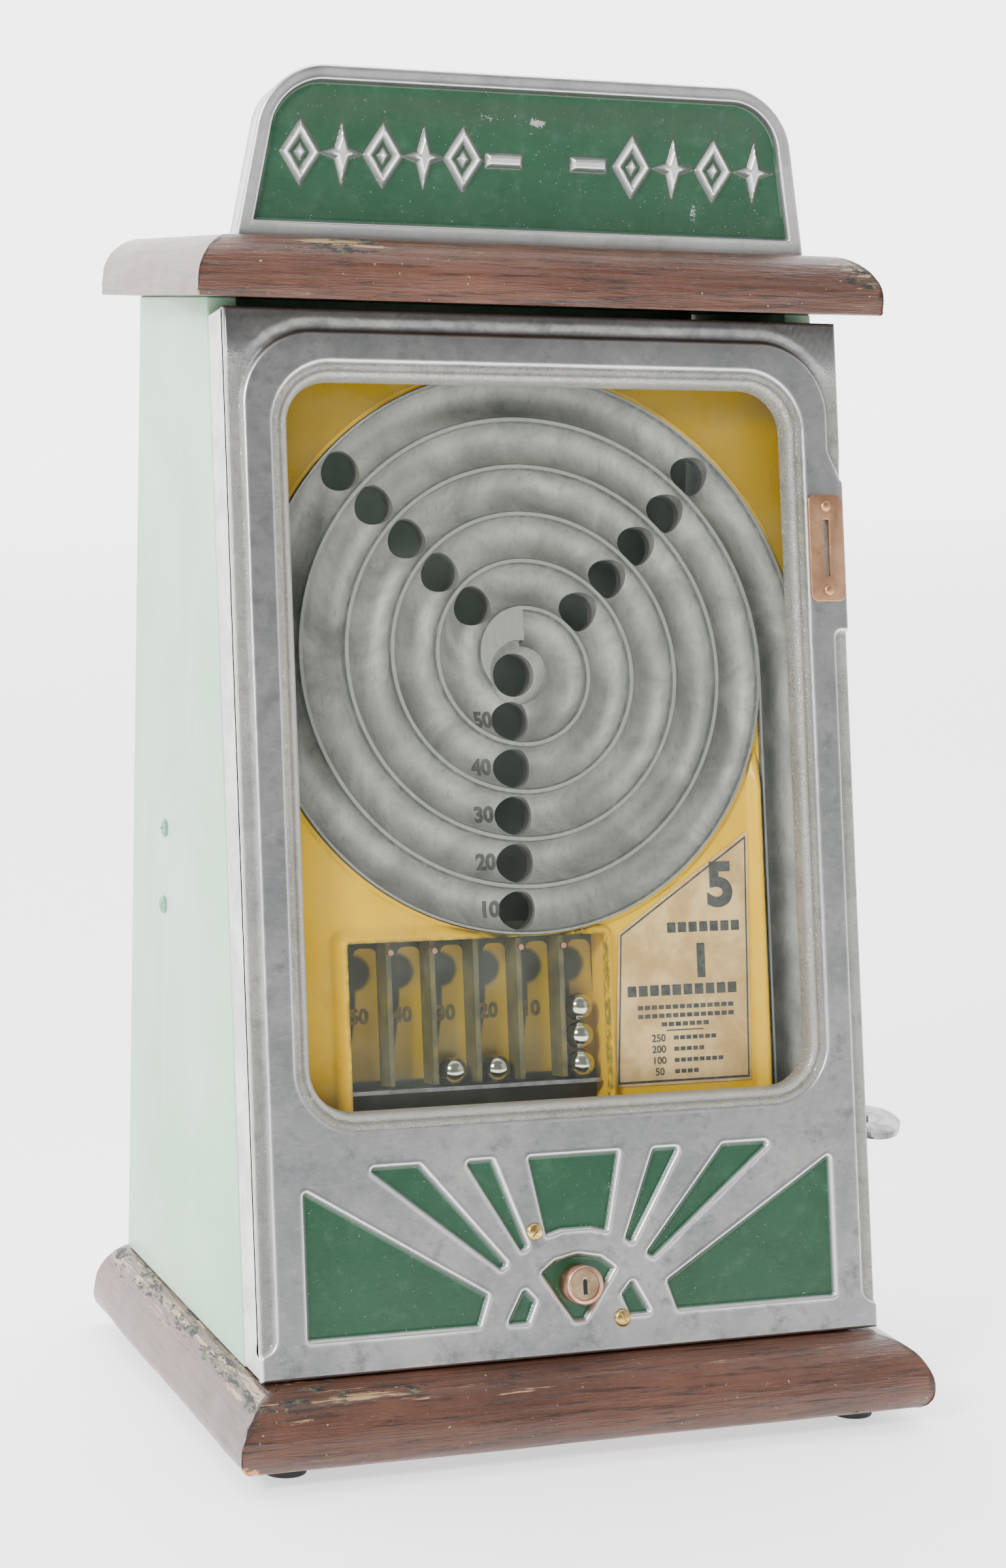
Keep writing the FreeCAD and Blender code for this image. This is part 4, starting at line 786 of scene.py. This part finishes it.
def make_sign():
    low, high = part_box("sign_casting")
    tall, thick = (high.z - low.z) / MM, (high.y - low.y) / MM
    half = (high.x - low.x) / 2 / MM
    tilt = math.cos(math.atan2(SIGN_LEAN, tall))

    def outline(x, z):
        across = (np.abs(x) - half + SIGN_LEAN * z / tall) * tilt + SIGN_ROUND
        up = z - tall + SIGN_ROUND
        outside = np.hypot(np.maximum(across, 0), np.maximum(up, 0))
        return outside + np.minimum(np.maximum(across, up), 0) - SIGN_ROUND

    x, z = np.meshgrid(np.linspace(-1, 1, 600), np.linspace(0, tall, 165))
    x = x * (half - SIGN_LEAN * z / tall)
    for _ in range(3):
        value = outline(x, z)
        gx = (outline(x + 0.01, z) - value) / 0.01
        gz = (outline(x, z + 0.01) - value) / 0.01
        over = np.maximum(value, 0)
        x, z = x - over * gx, z - over * gz
    inside = -np.maximum(outline(x, z) + SIGN_RIM, SIGN_RIM - z)
    marks = -marks_distance(x, z, MARKS_LEVEL)
    ridge = np.clip(marks + 0.4, 0, 1.5) * 1.35
    depth = 2.4 * step(inside, -0.1, 1.4) - ridge
    depth -= 0.18 * bell(inside, -0.5, 0.5)
    roll = np.clip((outline(x, z) + SIGN_ROLL) / SIGN_ROLL, 0, 1)
    depth += 1.7 * (1 - np.sqrt(1 - roll ** 2 * 0.9999))
    depth += 0.06 * ripple(x, z, 50, 5)
    places = ((-62, 51, 22, 2.6, 0.42), (-18, 48, 16, 3.4, 0.5), (3, 47, 5, 3, 0.62), (20, 47, 6, 2.5, 0.5),
              (70, 15, 3, 6, 0.6), (-50, 13, 40, 3, 0.28), (0, 20, 50, 3, 0.25))
    scuffs = sum(np.exp(-((x - cx) / across) ** 2 - ((z - cz) / up) ** 2) * strength
                 for cx, cz, across, up, strength in places)
    foot = 0.36 * np.exp(-((z - SIGN_RIM - 1.5) / 3.0) ** 2)
    near = 0.22 * bell(marks, -1.2, 1.4)
    masks = {"enamel": step(inside, 0.2, 1.0) * (1 - step(marks, -0.55, 0.0)),
             "cream": np.zeros(x.shape),
             "edge": bell(inside, -0.2, 0.5) + step(marks, -0.2, 0.5) + roll * 0.5
             + (scuffs + foot + near) * step(inside, 0.4, 1.2) + 0.35 * (1 - step(inside, -1.5, -0.5)),
             # painted shade: under the rim along the top of the field, beside the raised marks, and a
             # darker band across the field's upper part
             "painted_shade": 0.9 * bell(inside, 0.7, 0.7) * step(z, tall * 0.6, tall * 0.8)
             + 0.6 * bell(marks, -0.9, 0.5)
             + 0.35 * step(-np.abs(z - tall * 0.8), -16, 0) * step(inside, 2, 6)}
    centre = (low.x + high.x) / 2
    points = np.stack([centre + x * MM, low.y + depth * MM, low.z + z * MM], axis=-1)
    back = np.stack([centre + x * MM, np.full(x.shape, low.y + thick * MM), low.z + z * MM], axis=-1)
    sign = walled("sign_face", x.shape, points, back, CAST, "cabinet", masks)
    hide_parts("sign_casting", "sign_field", "sign_marks")


# ---- playfield -------------------------------------------------------------

SPIRAL_X, SPIRAL_Z, PITCH, FIRST = -4.5, 265.2, 18.4, 22.0
GROOVE, GROOVE_DEPTH = 8.6, 7.5
TRACK_EDGE = 9.7  # from the outer groove's middle to the casting's outline
RUNWAY_LEFT = 95.0


def track_depth(x, z):
    """Depth of the spiral's surface in the slope frame, from its tangent half circles."""
    across = x - SPIRAL_X
    left = across < 0
    shift = np.where(left, PITCH / 4, -PITCH / 4)
    radius = np.hypot(across, z - SPIRAL_Z - shift)
    base = FIRST + PITCH * np.where(left, 0.25, 0.75)
    offset = (radius - base) / PITCH
    nearest = (offset - np.round(offset)) * PITCH
    return PLAY_FACE + GROOVE_DEPTH - GROOVE + np.sqrt(np.maximum(GROOVE ** 2 - nearest ** 2, 1.0))


def make_numbers():
    """Hole numbers on the track's floor, and the columns' numbers on their backs."""
    placed = [("50", -20.6, 0), ("40", -21.7, 1), ("30", -21.4, 2), ("20", -21.2, 3), ("10", -20.4, 4)]
    for text, across, ring in placed:
        height = SPIRAL_Z - FIRST - PITCH * ring
        number("track_number_" + text, text, across, height + 0.6, 6.0, track_depth, 0.12, INK)
    number("track_number_0", "0", SPIRAL_X + 0.5, SPIRAL_Z + 11.5, 5.6, track_depth, 0.12, INK)
    for column, text in enumerate(("50", "40", "30", "20", "10")):
        number("column_number_" + text, text, GALLERY[0] + COLUMN_WIDE * (column + 0.5), 131, 5.6,
               lambda x, z: np.full(x.shape, BOARD_BACK - 0.1), 0.0, FAINT)


def number(name, text, x, z, tall, surface, lift, material, bold=0.42):
    """Figures laid on a surface of the slope frame."""
    curve = bpy.data.curves.new(name, "FONT")
    curve.body, curve.size = text, tall * 1.38
    curve.align_x, curve.align_y = "CENTER", "CENTER"
    curve.offset = bold
    curve.resolution_u = 6
    holder = add_object(name + "_curve", curve)
    bpy.context.view_layer.update()
    mesh = bpy.data.meshes.new_from_object(holder.evaluated_get(bpy.context.evaluated_depsgraph_get()))
    bpy.data.objects.remove(holder)
    shape = bmesh.new()
    shape.from_mesh(mesh)
    bmesh.ops.triangulate(shape, faces=shape.faces)
    for _ in range(2):
        long_edges = [edge for edge in shape.edges if edge.calc_length() > 1.0]
        if long_edges:
            bmesh.ops.subdivide_edges(shape, edges=long_edges, cuts=1)
            bmesh.ops.triangulate(shape, faces=shape.faces)
    flat = np.array([vertex.co for vertex in shape.verts])
    px, pz = flat[:, 0] + x, flat[:, 1] + z
    points = on_slope(px, surface(px, pz) - lift, pz)
    faces = [[vertex.index for vertex in face.verts] for face in shape.faces]
    shape.free()
    bpy.data.meshes.remove(mesh)
    return new_piece(name, points, faces, material, "cabinet")


GALLERY = (-82.0, 24.5, 90.0, 159.5)
COLUMN_WIDE = (GALLERY[1] - GALLERY[0]) / 6
RIM_LIFT = 4.3


def board_hole(x, z):
    """Distance outside the track and the gallery, which open the painted board."""
    across = x - SPIRAL_X
    left = across < 0
    wide = (x > SPIRAL_X) & (z > SPIRAL_Z - PITCH / 4)
    shift = np.where(left, PITCH / 4, -PITCH / 4)
    outer = np.where(left, FIRST + PITCH * 4.25, np.where(wide, FIRST + PITCH * 4.75, FIRST + PITCH * 3.75))
    disc = np.hypot(across, z - SPIRAL_Z - shift) - outer - TRACK_EDGE
    runway = np.maximum(RUNWAY_LEFT - x, z - (SPIRAL_Z - PITCH / 4))
    return np.minimum(disc, runway)


def make_yellow_board():
    """The board's face: enamelled, with raised rims round the gallery and along the runway."""
    low, high = slope_extent("playfield_board")

    def hole(x, z):
        return np.minimum(board_hole(x, z), rounded_box(x, z, *GALLERY, 0.5))

    x, z = grid(low[0], high[0], low[2], high[2], 0.8)
    x, z = snap(x, z, hole, 0.55)
    away = hole(x, z)
    track = board_hole(x, z)
    gallery = rounded_box(x, z, *GALLERY, 0.5)
    slope_side = np.clip(1 - gallery / 5.6, 0, 1)
    ridge_side = np.sqrt(np.clip(1 - (np.clip(gallery, 0, None) / 3.1) ** 2, 0, 1))
    rim = np.where(x > GALLERY[1] - 1, ridge_side, np.minimum(slope_side * 1.25, 1))
    ledge = step(x, 88.6, 92.6) * (1 - 0.5 * step(x, 93.6, 95.0)) * step(-z, -232, -214)
    depth = BOARD_FACE - 0.12 - RIM_LIFT * rim * step(track, -0.5, 3.0) - 3.6 * ledge
    depth += 0.7 * (1 - step(track, 0, 1.8)) + 0.08 * ripple(x, z, 40, 8)
    # painted shadow of the door's frame over the board's top and along its lower left edge
    painted_frame_shadow = 0.75 * step(z, 210, 300) + 0.35 * step(-x, 84, 100) * step(-z, -110, -70)
    masks = {"edge": bell(track, 0, 1.4) + bell(gallery, 0, 0.9) * 0.8, "painted_frame_shadow": painted_frame_shadow}
    face = new_piece("playfield_face", on_slope(x, depth, z), grid_faces(away > -0.25), YELLOW, "cabinet",
                     masks=masks)
    drop_loose(face)
    deepen_rim(face)


def make_columns():
    """The columns' backs: ochre flaps with round shoulders, painted shade above them, at the ports, down
    one side and at the bottom.
    """
    low, high = slope_extent("gallery_back")
    x, z = grid(low[0], high[0], low[2], high[2], 0.6)
    share = (x - GALLERY[0]) / COLUMN_WIDE
    column = np.clip(np.floor(share), 0, 5)
    across = (share - column) * COLUMN_WIDE
    flap = rounded_box(across, z, 0.42 * COLUMN_WIDE, COLUMN_WIDE - 0.7, 60, 157.2, 3.2)
    wedge = 1 - step(across - (0.06 + 0.24 * step(z, 104, 140)) * COLUMN_WIDE, 0.5, 4.2)
    port = np.hypot(across - 0.40 * COLUMN_WIDE, z - 148) - 6.6
    shade = np.maximum(1 - step(-flap, -0.9, 0.5) * step(z, 128, 150) - (1 - step(z, 128, 150)), wedge)
    shade = np.maximum(shade, 1 - step(port, -3.5, 3.5))
    shade = np.maximum(shade, 1 - step(z, 104.5, 108))
    back = walled("column_backs", x.shape, on_slope(x, np.full(x.shape, low[1]), z),
                  on_slope(x, np.full(x.shape, high[1]), z), COLUMNS, "cabinet",
                  {"shade": shade})
    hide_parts("gallery_back")


def make_card():
    """Tan card with a printed border, figures and rules."""
    d = slope_extent("score_card")[0][1]
    outline = np.array([(28.2, 99.6), (85.5, 99.6), (87.8, 196.5), (31.5, 158.7)])
    centre = outline.mean(axis=0)
    rings = np.vstack([centre + (outline - centre) * share for share in (0.988, 0.966)])
    faces = [(k, (k + 1) % 4, 4 + (k + 1) % 4, 4 + k) for k in range(4)]
    border_points = on_slope(rings[:, 0], np.full(8, d - 0.12), rings[:, 1])
    new_piece("card_border", border_points, faces, INK, "cabinet", smooth=False)

    def flat(x, _):
        return np.full(x.shape, d - 0.12)

    number("card_figure_5", "5", 75.5, 176, 17, flat, 0, INK, 1.0)
    number("card_figure_1", "1", 66, 146.5, 12.5, flat, 0, INK, 0.9)
    for row, text in enumerate(("250", "200", "100", "50")):
        number("card_score_" + text, text, 46.5, 117.2 - row * 4.4, 2.9, flat, 0, INK, 0.1)
    bars = [(52, 82, 160.5, 2.0, 4.6), (34, 82, 136, 2.1, 4.8), (38, 78, 129.4, 0.85, 3.0),
            (38, 78, 126, 0.85, 3.0),
            (48, 68, 122.6, 0.85, 3.0), (50, 66, 120.2, 0.25, 16)]
    bars += [(53, (70, 64, 72, 62)[row], 117.2 - row * 4.4, 0.8, 2.7) for row in range(4)]
    points, faces = [], []
    for left, right, level, half, cell in bars:
        for start in np.arange(left, right - 0.1, cell):
            wide = cell * 0.78 if cell < 10 else cell
            faces.append(tuple(range(len(points), len(points) + 4)))
            points += [(start, level - half), (start + wide, level - half), (start + wide, level + half),
                       (start, level + half)]
    x, z = np.array(points).T
    new_piece("card_rules", on_slope(x, flat(x, z), z), faces, INK, "cabinet", smooth=False)


# ---- hardware --------------------------------------------------------------

def screw_profile(radius, rise):
    """A domed head: (radius, height) pairs from its rim to its middle."""
    skirt = 0.3
    turns = np.linspace(0, 1, 9)
    dome = [(radius * math.cos(t * math.pi / 2) + 1e-4,
             skirt + (rise - skirt) * math.sin(t * math.pi / 2)) for t in turns]
    return [(radius, -0.2), (radius, skirt)] + dome


def slotted_head(name, place, radius, rise, angle, material, body):
    """A domed screw head with a slot cut across it."""
    head = lathe(name, screw_profile(radius, rise), place, material, body, 40)
    groove = Matrix(place) @ Matrix.Rotation(angle, 4, "Z")
    half = (radius * 1.2 * MM, 0.32 * MM, 0.55 * MM)
    corners = [Vector((sx * half[0], sy * half[1], rise * MM + sz * half[2])) for sx in (-1, 1)
               for sy in (-1, 1)
               for sz in (-1, 1)]
    cutter_mesh = bpy.data.meshes.new(name + "_cut")
    cutter_mesh.from_pydata([groove @ corner for corner in corners], [],
                            [(0, 1, 3, 2), (4, 6, 7, 5), (0, 4, 5, 1), (2, 3, 7, 6), (0, 2, 6, 4),
                             (1, 5, 7, 3)])
    cutter = add_object(name + "_cutter", cutter_mesh)
    with reshaping(head.data) as close:
        rim = [edge for edge in close.edges if edge.is_boundary]
        bmesh.ops.holes_fill(close, edges=rim)
        bmesh.ops.recalc_face_normals(close, faces=close.faces)
    carve(head, cutter)
    mark_sharp(head, 35)
    return head


def carve(piece, cutter):
    """Boolean difference, applied, with the cutter removed."""
    change = piece.modifiers.new("carve", "BOOLEAN")
    change.object, change.operation, change.solver = cutter, "DIFFERENCE", "EXACT"
    apply_modifiers(piece)
    bpy.data.objects.remove(cutter)


def make_lock():
    """Bronze barrel with a rounded rim, a recessed plug face and its keyhole."""
    z = slope_extent("lock_barrel")
    centre = (z[0] + z[1]) / 2
    front = z[0][1]
    place = front_place(0, front, centre[2])
    rim = [(7.5, -9), (7.5, -0.7), (7.2, -0.2), (6.7, 0.05), (5.9, 0.05), (5.7, -0.2), (5.7, -1.2)]
    barrel = lathe("lock_rim", rim, place, BRONZE, "door", 64)
    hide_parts("lock_barrel")
    face = [(5.55, -9), (5.55, -0.9), (5.3, -0.65), (2.2, -0.6), (1.9, -0.75), (1e-4, -0.8)]
    lathe("lock_face", face, place, BRONZE_DARK, "lock", 64)
    # The keyhole is a flat black sheet on the plug face: painted shade in place of a hole.
    keyhole = [(-0.85, -3.4), (0.85, -3.4), (0.85, 1.6), (0.5, 2.4), (-0.5, 2.4), (-0.85, 1.6)]
    points = [place @ (Vector((px, pz, -0.55)) * MM) for px, pz in keyhole]
    new_piece("lock_keyhole", np.array(points), [tuple(range(6))], BLACK, "lock", smooth=False)


def make_door_screws():
    boxes = {"a": (-17.3, 47.8, 0.9), "b": (17.5, 12.5, 2.2)}
    for key, (x, z, angle) in boxes.items():
        head = slotted_head("door_screw_" + key, front_place(x, 0.1, z), 3.4, 1.9, angle, BRASS, "door")
        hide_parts("lock_screws")


def make_coin_plate():
    """Copper plate with soft corners and a slot, held by two round heads."""
    low, high = slope_extent("coin_plate")
    centre = (low + high) / 2
    softened("coin_plate", "coin_plate_face", 0.35, COPPER, "door", 3)
    for key, z in (("a", centre[2] - 16.8), ("b", centre[2] + 16.5)):
        head = lathe("coin_screw_" + key, screw_profile(2.2, 1.4), front_place(centre[0], low[1], z),
                     COPPER,
                     "door", 32)
        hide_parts("coin_screws")


def make_side_screws():
    low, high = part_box("panel_screws")
    left = Vector((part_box("side_panel_left")[0].x, (low.y + high.y) / 2, 0))
    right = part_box("side_panel_right")[1].x
    for side, x, turn in (("l", left.x, -1), ("r", right, 1)):
        for key, z in (("a", low.z + 3.6 * MM), ("b", high.z - 3.6 * MM)):
            place = Matrix.Translation((x, left.y, z)) @ Matrix.Rotation(turn * math.pi / 2, 4, "Y")
            head = slotted_head(f"side_screw_{side}{key}", place, 3.6, 1.9, 0.6 if key == "a" else 1.9,
                                SCREW_PAINT, "cabinet")
            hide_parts("panel_screws")


def make_boards():
    moulded_board("base_board", 19, 7)
    moulded_board("cap_board", 17, 0)


def arc_profile(tall, upper, lower):
    """(inset, height) from under the board, round its nose, to its top."""
    turns = np.linspace(0, math.pi / 2, 12)
    path = [(inset, 0.0) for inset in np.linspace(100, max(lower, 0.6) + 2, 6)]
    if lower:
        path += [(lower - lower * math.sin(turn), lower - lower * math.cos(turn)) for turn in turns]
    else:
        path += [(0.6, 0.0), (0.0, 0.6)]
    path += [(upper - upper * math.cos(turn), tall - upper + upper * math.sin(turn)) for turn in turns]
    path += [(inset, tall) for inset in np.linspace(upper + 2, 100, 24)]
    fine = [np.array(path[0])]
    for start, end in zip(path, path[1:]):
        start, end = np.array(start), np.array(end)
        parts = max(1, int(np.hypot(*(end - start)) / 1.6)) if start[0] < 30 and end[0] < 30 else 1
        fine += [start + (end - start) * k / parts for k in range(1, parts + 1)]
    return np.array(fine)


def moulded_board(node, upper, lower):
    """A board with a moulded nose on three sides, mitred at the front corners, its paint thick and worn."""
    low, high = (np.array(corner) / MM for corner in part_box(node))
    profile = arc_profile(high[2] - low[2], upper, lower)
    run = np.concatenate([[0], np.cumsum(np.hypot(*np.diff(profile, axis=0).T))])
    centre, half = (low[0] + high[0]) / 2, (high[0] - low[0]) / 2
    parts, faces, strips, masks = [], [], {}, {"grain_u": [], "grain_v": [], "corner": [], "wear": []}

    def store(shape, **values):
        for mask, value in values.items():
            masks[mask].append(np.broadcast_to(value, shape).ravel())

    for side in (-1, 0, 1):
        length = high[1] - low[1] if side else 2 * half
        stations = np.linspace(0, 1, int(length / 2.4))
        share, which = np.meshgrid(stations, np.arange(len(profile)))
        inset_by, height = profile[which, 0], profile[which, 1]
        if side:
            x = centre + side * (half - inset_by)
            y = high[1] + (low[1] + inset_by - high[1]) * share
            along = y
        else:
            x = centre + (half - inset_by) * (2 * share - 1)
            y = low[1] + inset_by
            along = x
        z = low[2] + height
        wave = 0.5 * ripple(along * 0.10, run[which], 14, 11
                            + side) + 0.4 * ripple(along * 0.06, run[which], 4.5, 14)
        wave += 0.35 * ripple(along, run[which], 45, 15) - 0.3
        tip = np.clip(1 - np.abs(x - low[0]) / 15, 0, 1) * np.clip(1 - np.abs(y - low[1]) / 15, 0, 1)
        foot = np.clip(1 - height / 13, 0, 1)
        ragged = np.clip(0.8 + ripple(x, y + z, 9, 13), 0, 1.6)
        splinter = 0 if node == "cap_board" else 1.6 * tip * foot * ragged
        slide = np.clip(1 - inset_by / 12, 0, 1)
        push = (wave - 0.35 - splinter) * slide
        outward = np.stack([np.full(x.shape, float(side)), np.full(x.shape, 0.0 if side else -1.0),
                            np.where(height > (high[2] - low[2]) / 2, 0.8, -0.3)], axis=-1)
        points = np.stack([x, y, z], axis=-1) + outward * (push * 0.5)[..., None]
        base = sum(len(part) for part in parts)
        index = np.arange(x.size).reshape(x.shape) + base
        faces += full_grid(x.shape, base)
        parts.append(points.reshape(-1, 3))
        strips[side] = index
        brow = np.exp(-((height - (high[2] - low[2]) + 2.5) / 4.5) ** 2)
        left_end = np.exp(-((x - low[0] - 25) / 45) ** 2)
        if node == "base_board":
            wear = brow * (0.42 + 0.5 * left_end) + foot * 0.45
            bare = 1.0 * tip ** 0.5 * foot * np.where(y < low[1] + 14, 1, 0)
        else:
            patch = np.exp(-((x - low[0] - 55) / 22) ** 2)
            wear = brow * (0.15 + 0.9 * patch) * (0.3 if side else 1) + 0.15 * foot
            right_end = np.exp(-((x - high[0] + 10) / 14) ** 2 - ((y - low[1]) / 24) ** 2)
            wear += 0.8 * right_end * np.clip(height / 12, 0, 1)
            bare = np.clip(1 - np.hypot(x - low[0], y - low[1]) / 5, 0, 1) * foot * 0.8
        store(x.shape, grain_u=along * MM, grain_v=(run[which] + 90 * side) * MM, corner=bare, wear=wear)
    plates = []
    for row in (0, -1):
        across = np.concatenate(parts)[strips[0][row], 0]
        back = np.concatenate(parts)[strips[1][row], 1]
        x, y = np.meshgrid(across, back)
        base = sum(len(part) for part in parts)
        index = np.arange(x.size).reshape(x.shape) + base
        faces += full_grid(x.shape, base)
        parts.append(np.stack([x, y, np.full(x.shape, (low if row == 0 else high)[2])],
                              axis=-1).reshape(-1, 3))
        plates.append(index)
        store(x.shape, grain_u=x * MM, grain_v=y * MM, corner=0.0, wear=0.0)
    faces.append([*strips[-1][:, 0].tolist(), *plates[1][0, 1:-1].tolist(), *strips[1][::-1, 0].tolist(),
                  *plates[0][0, -2:0:-1].tolist()])
    board = new_piece(node + "_wood", np.vstack(parts) * MM, faces, BROWN, "cabinet",
                      masks={mask: np.concatenate(values) for mask, values in masks.items()})
    close_board(board)
    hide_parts(node)


def close_board(board):
    """Join the mitres and the flats, and crease the mitre lines."""
    with reshaping(board.data) as shape:
        bmesh.ops.remove_doubles(shape, verts=shape.verts, dist=0.45 * MM)
        bmesh.ops.triangulate(shape, faces=[face for face in shape.faces if len(face.verts) > 4])
        bmesh.ops.recalc_face_normals(shape, faces=shape.faces)
        for edge in shape.edges:
            if len(edge.link_faces) == 2:
                edge.smooth = edge.calc_face_angle(0) < math.radians(32)


def make_lever():
    """The thumb lever, polished and with its edges eased."""
    softened("shooter_lever", "thumb_lever_arm", 0.9, CHROME, "shooter", 3)


# ---- room ------------------------------------------------------------------

def make_room():
    x, y = np.meshgrid(np.linspace(-14, 14, 57), np.linspace(-6, 22, 57))
    floor_mesh = bpy.data.meshes.new("floor")
    floor_mesh.from_pydata(np.stack([x, y, np.full(x.shape, -0.0005)], axis=-1).reshape(-1, 3).tolist(), [],
                           full_grid(x.shape))
    glow = floor_mesh.attributes.new("glow", "FLOAT", "POINT")
    glow.data.foreach_set("value", np.ravel(step(y - 0.4 * np.abs(x), 0.3, 6)).astype(np.float32))
    floor = add_object("floor", floor_mesh)
    pale = Shader("floor_pale")
    pale.finish((0.93, 0.93, 0.93), 0.85, 0.0, Emission_Strength=pale.blend(pale.mask("glow"), 1.1, 2.5))
    floor_mesh.materials.append(pale.material)
    make_sky()
    add_light("key", (-2.1, -1.6, 1.75), 0.7, 110)
    add_light("fill", (1.9, -1.7, 1.2), 1.8, 9)
    add_light("top", (0.1, 0.5, 2.6), 2.0, 30)


def make_sky():
    """White all round, brightest behind the object, like a lit paper sweep."""
    world = bpy.data.worlds.new("studio")
    bpy.context.scene.world = world
    world.use_nodes = True
    tree = world.node_tree
    split = tree.nodes.new("ShaderNodeSeparateXYZ")
    tree.links.new(tree.nodes.new("ShaderNodeTexCoord").outputs["Generated"], split.inputs[0])
    share = tree.nodes.new("ShaderNodeMapRange")
    share.interpolation_type = "SMOOTHSTEP"
    for socket, value in zip(share.inputs[1:5], (-0.5, 0.75, 0.30, 4.6)):
        socket.default_value = value
    tree.links.new(split.outputs["Y"], share.inputs["Value"])
    tree.links.new(share.outputs["Result"], tree.nodes["Background"].inputs["Strength"])
    tree.nodes["Background"].inputs["Color"].default_value = (1, 1, 1, 1)


def add_light(name, place, size, power):
    light = bpy.data.lights.new(name, "AREA")
    light.size, light.energy = size, power
    holder = add_object(name, light)
    holder.location = place
    holder.rotation_euler = (Vector((0, 0, 0.26)) - Vector(place)).to_track_quat("-Z", "Y").to_euler()


def make_camera():
    """At the photograph's angle: to the left of the front, a little above, with a long lens."""
    yaw, pitch, roll = math.radians(-21.28), math.radians(7.89), math.radians(1.61)
    right = Vector((math.cos(yaw), math.sin(yaw), 0))
    ahead = Vector((-math.sin(yaw), math.cos(yaw), 0))
    up = Vector((0, 0, 1))
    view = ahead * math.cos(pitch) - up * math.sin(pitch)
    rise = up * math.cos(pitch) + ahead * math.sin(pitch)
    side = right * math.cos(roll) + rise * math.sin(roll)
    top = rise * math.cos(roll) - right * math.sin(roll)
    lens = bpy.data.cameras.new("camera")
    lens.lens = 75.31
    lens.sensor_width = 36
    camera = add_object("camera", lens)
    place = Vector((MIDDLE - 0.4718, -1.2025, 0.4202))
    camera.matrix_world = Matrix.Translation(place) @ Matrix((side, top, -view)).transposed().to_4x4()
    bpy.context.scene.camera = camera


# ---- build -----------------------------------------------------------------

CAST = cast_metal("cast_aluminium")
CAST_SIDE = plain_metal("cast_side", (0.42, 0.42, 0.41), (0.68, 0.68, 0.66), 0.34, 0.52, 60)
TRACK = track_metal("track_aluminium")
YELLOW = yellow_enamel("yellow_enamel")
COLUMNS = column_paint("column_paint")
BROWN = brown_paint("brown_paint")
MINT = mint_paint("mint_paint")
SCREW_PAINT = soft_paint("screw_paint", (0.09, 0.20, 0.12), (0.22, 0.42, 0.27), 0.35, 300)
BRASS = plain_metal("brass", (0.42, 0.27, 0.08), (0.80, 0.60, 0.26), 0.22, 0.40)
BRONZE = plain_metal("bronze", (0.40, 0.20, 0.12), (0.66, 0.40, 0.28), 0.25, 0.42)
BRONZE_DARK = plain_metal("bronze_dark", (0.24, 0.16, 0.09), (0.42, 0.31, 0.19), 0.3, 0.5)
COPPER = plain_metal("copper", (0.34, 0.18, 0.10), (0.54, 0.32, 0.19), 0.34, 0.5, 70)
STEEL = plain_metal("steel", (0.28, 0.28, 0.28), (0.5, 0.5, 0.5), 0.3, 0.5)
BALL_STEEL = plain_metal("ball_steel", (0.42, 0.43, 0.34), (0.62, 0.62, 0.50), 0.08, 0.16, 200)
CHROME = plain_metal("chrome", (0.10, 0.10, 0.11), (0.30, 0.30, 0.30), 0.08, 0.18, 150)
RUBBER = soft_paint("black_rubber", (0.012, 0.012, 0.012), (0.03, 0.03, 0.03), 0.7)
BLACK = soft_paint("dark_hollow", (0.003, 0.003, 0.003), (0.006, 0.006, 0.006), 0.8)
OLIVE = soft_paint("olive_edges", (0.030, 0.030, 0.010), (0.10, 0.085, 0.018), 0.62, 120)
FAINT = soft_paint("faint_ink", (0.055, 0.045, 0.012), (0.16, 0.115, 0.012), 0.6, 500)
INK = soft_paint("black_ink", (0.012, 0.014, 0.012), (0.05, 0.055, 0.045), 0.6, 400)
CARD = soft_paint("old_card", (0.36, 0.225, 0.07), (0.60, 0.43, 0.18), 0.6, 55, 0.0001)
WOOD = bare_wood("bare_wood")
GLASS = clear_glass("window_glass")

FINISHES = {
    "spiral_track": TRACK, "playfield_board": YELLOW, "gallery_dividers": OLIVE,
    "gallery_pane": GLASS, "gallery_pins": COPPER, "score_card": CARD, "ball_thirty": BALL_STEEL,
    "ball_twenty": BALL_STEEL, "balls_out": BALL_STEEL, "door_glass": GLASS, "glass_clips": STEEL,
    "lock_plug": BRONZE_DARK, "lock_cam": STEEL, "lock_strike": STEEL, "coin_chute": BLACK,
    "hinge_leaf_door": STEEL, "hinge_leaf_cabinet": STEEL, "hinge_pins": STEEL, "hinge_screws": STEEL,
    "ball_gate": STEEL, "gate_bracket": STEEL, "gate_spring": STEEL, "shooter_lever": STEEL,
    "shooter_pin": STEEL, "shooter_spring": STEEL, "spring_anchor": STEEL, "cross_rail": WOOD,
    "playfield_cleats": WOOD, "cash_box": STEEL, "lever_stop": RUBBER, "rubber_feet": RUBBER,
    "foot_screws": STEEL, "back_panel": MINT,
}


def paint_nodes():
    for name, material in FINISHES.items():
        mesh = frame["nodes"][name].data
        mesh.materials.clear()
        mesh.materials.append(material)


def main():
    paint_nodes()
    make_camera()
    make_room()
    make_door()
    make_sign()
    make_yellow_board()
    make_columns()
    make_card()
    make_numbers()
    make_lock()
    make_door_screws()
    make_coin_plate()
    make_side_screws()
    make_boards()
    make_lever()
    for node in ("side_panel_left", "side_panel_right"):
        softened(node, node + "_painted", 0.9, MINT, "cabinet")


main()
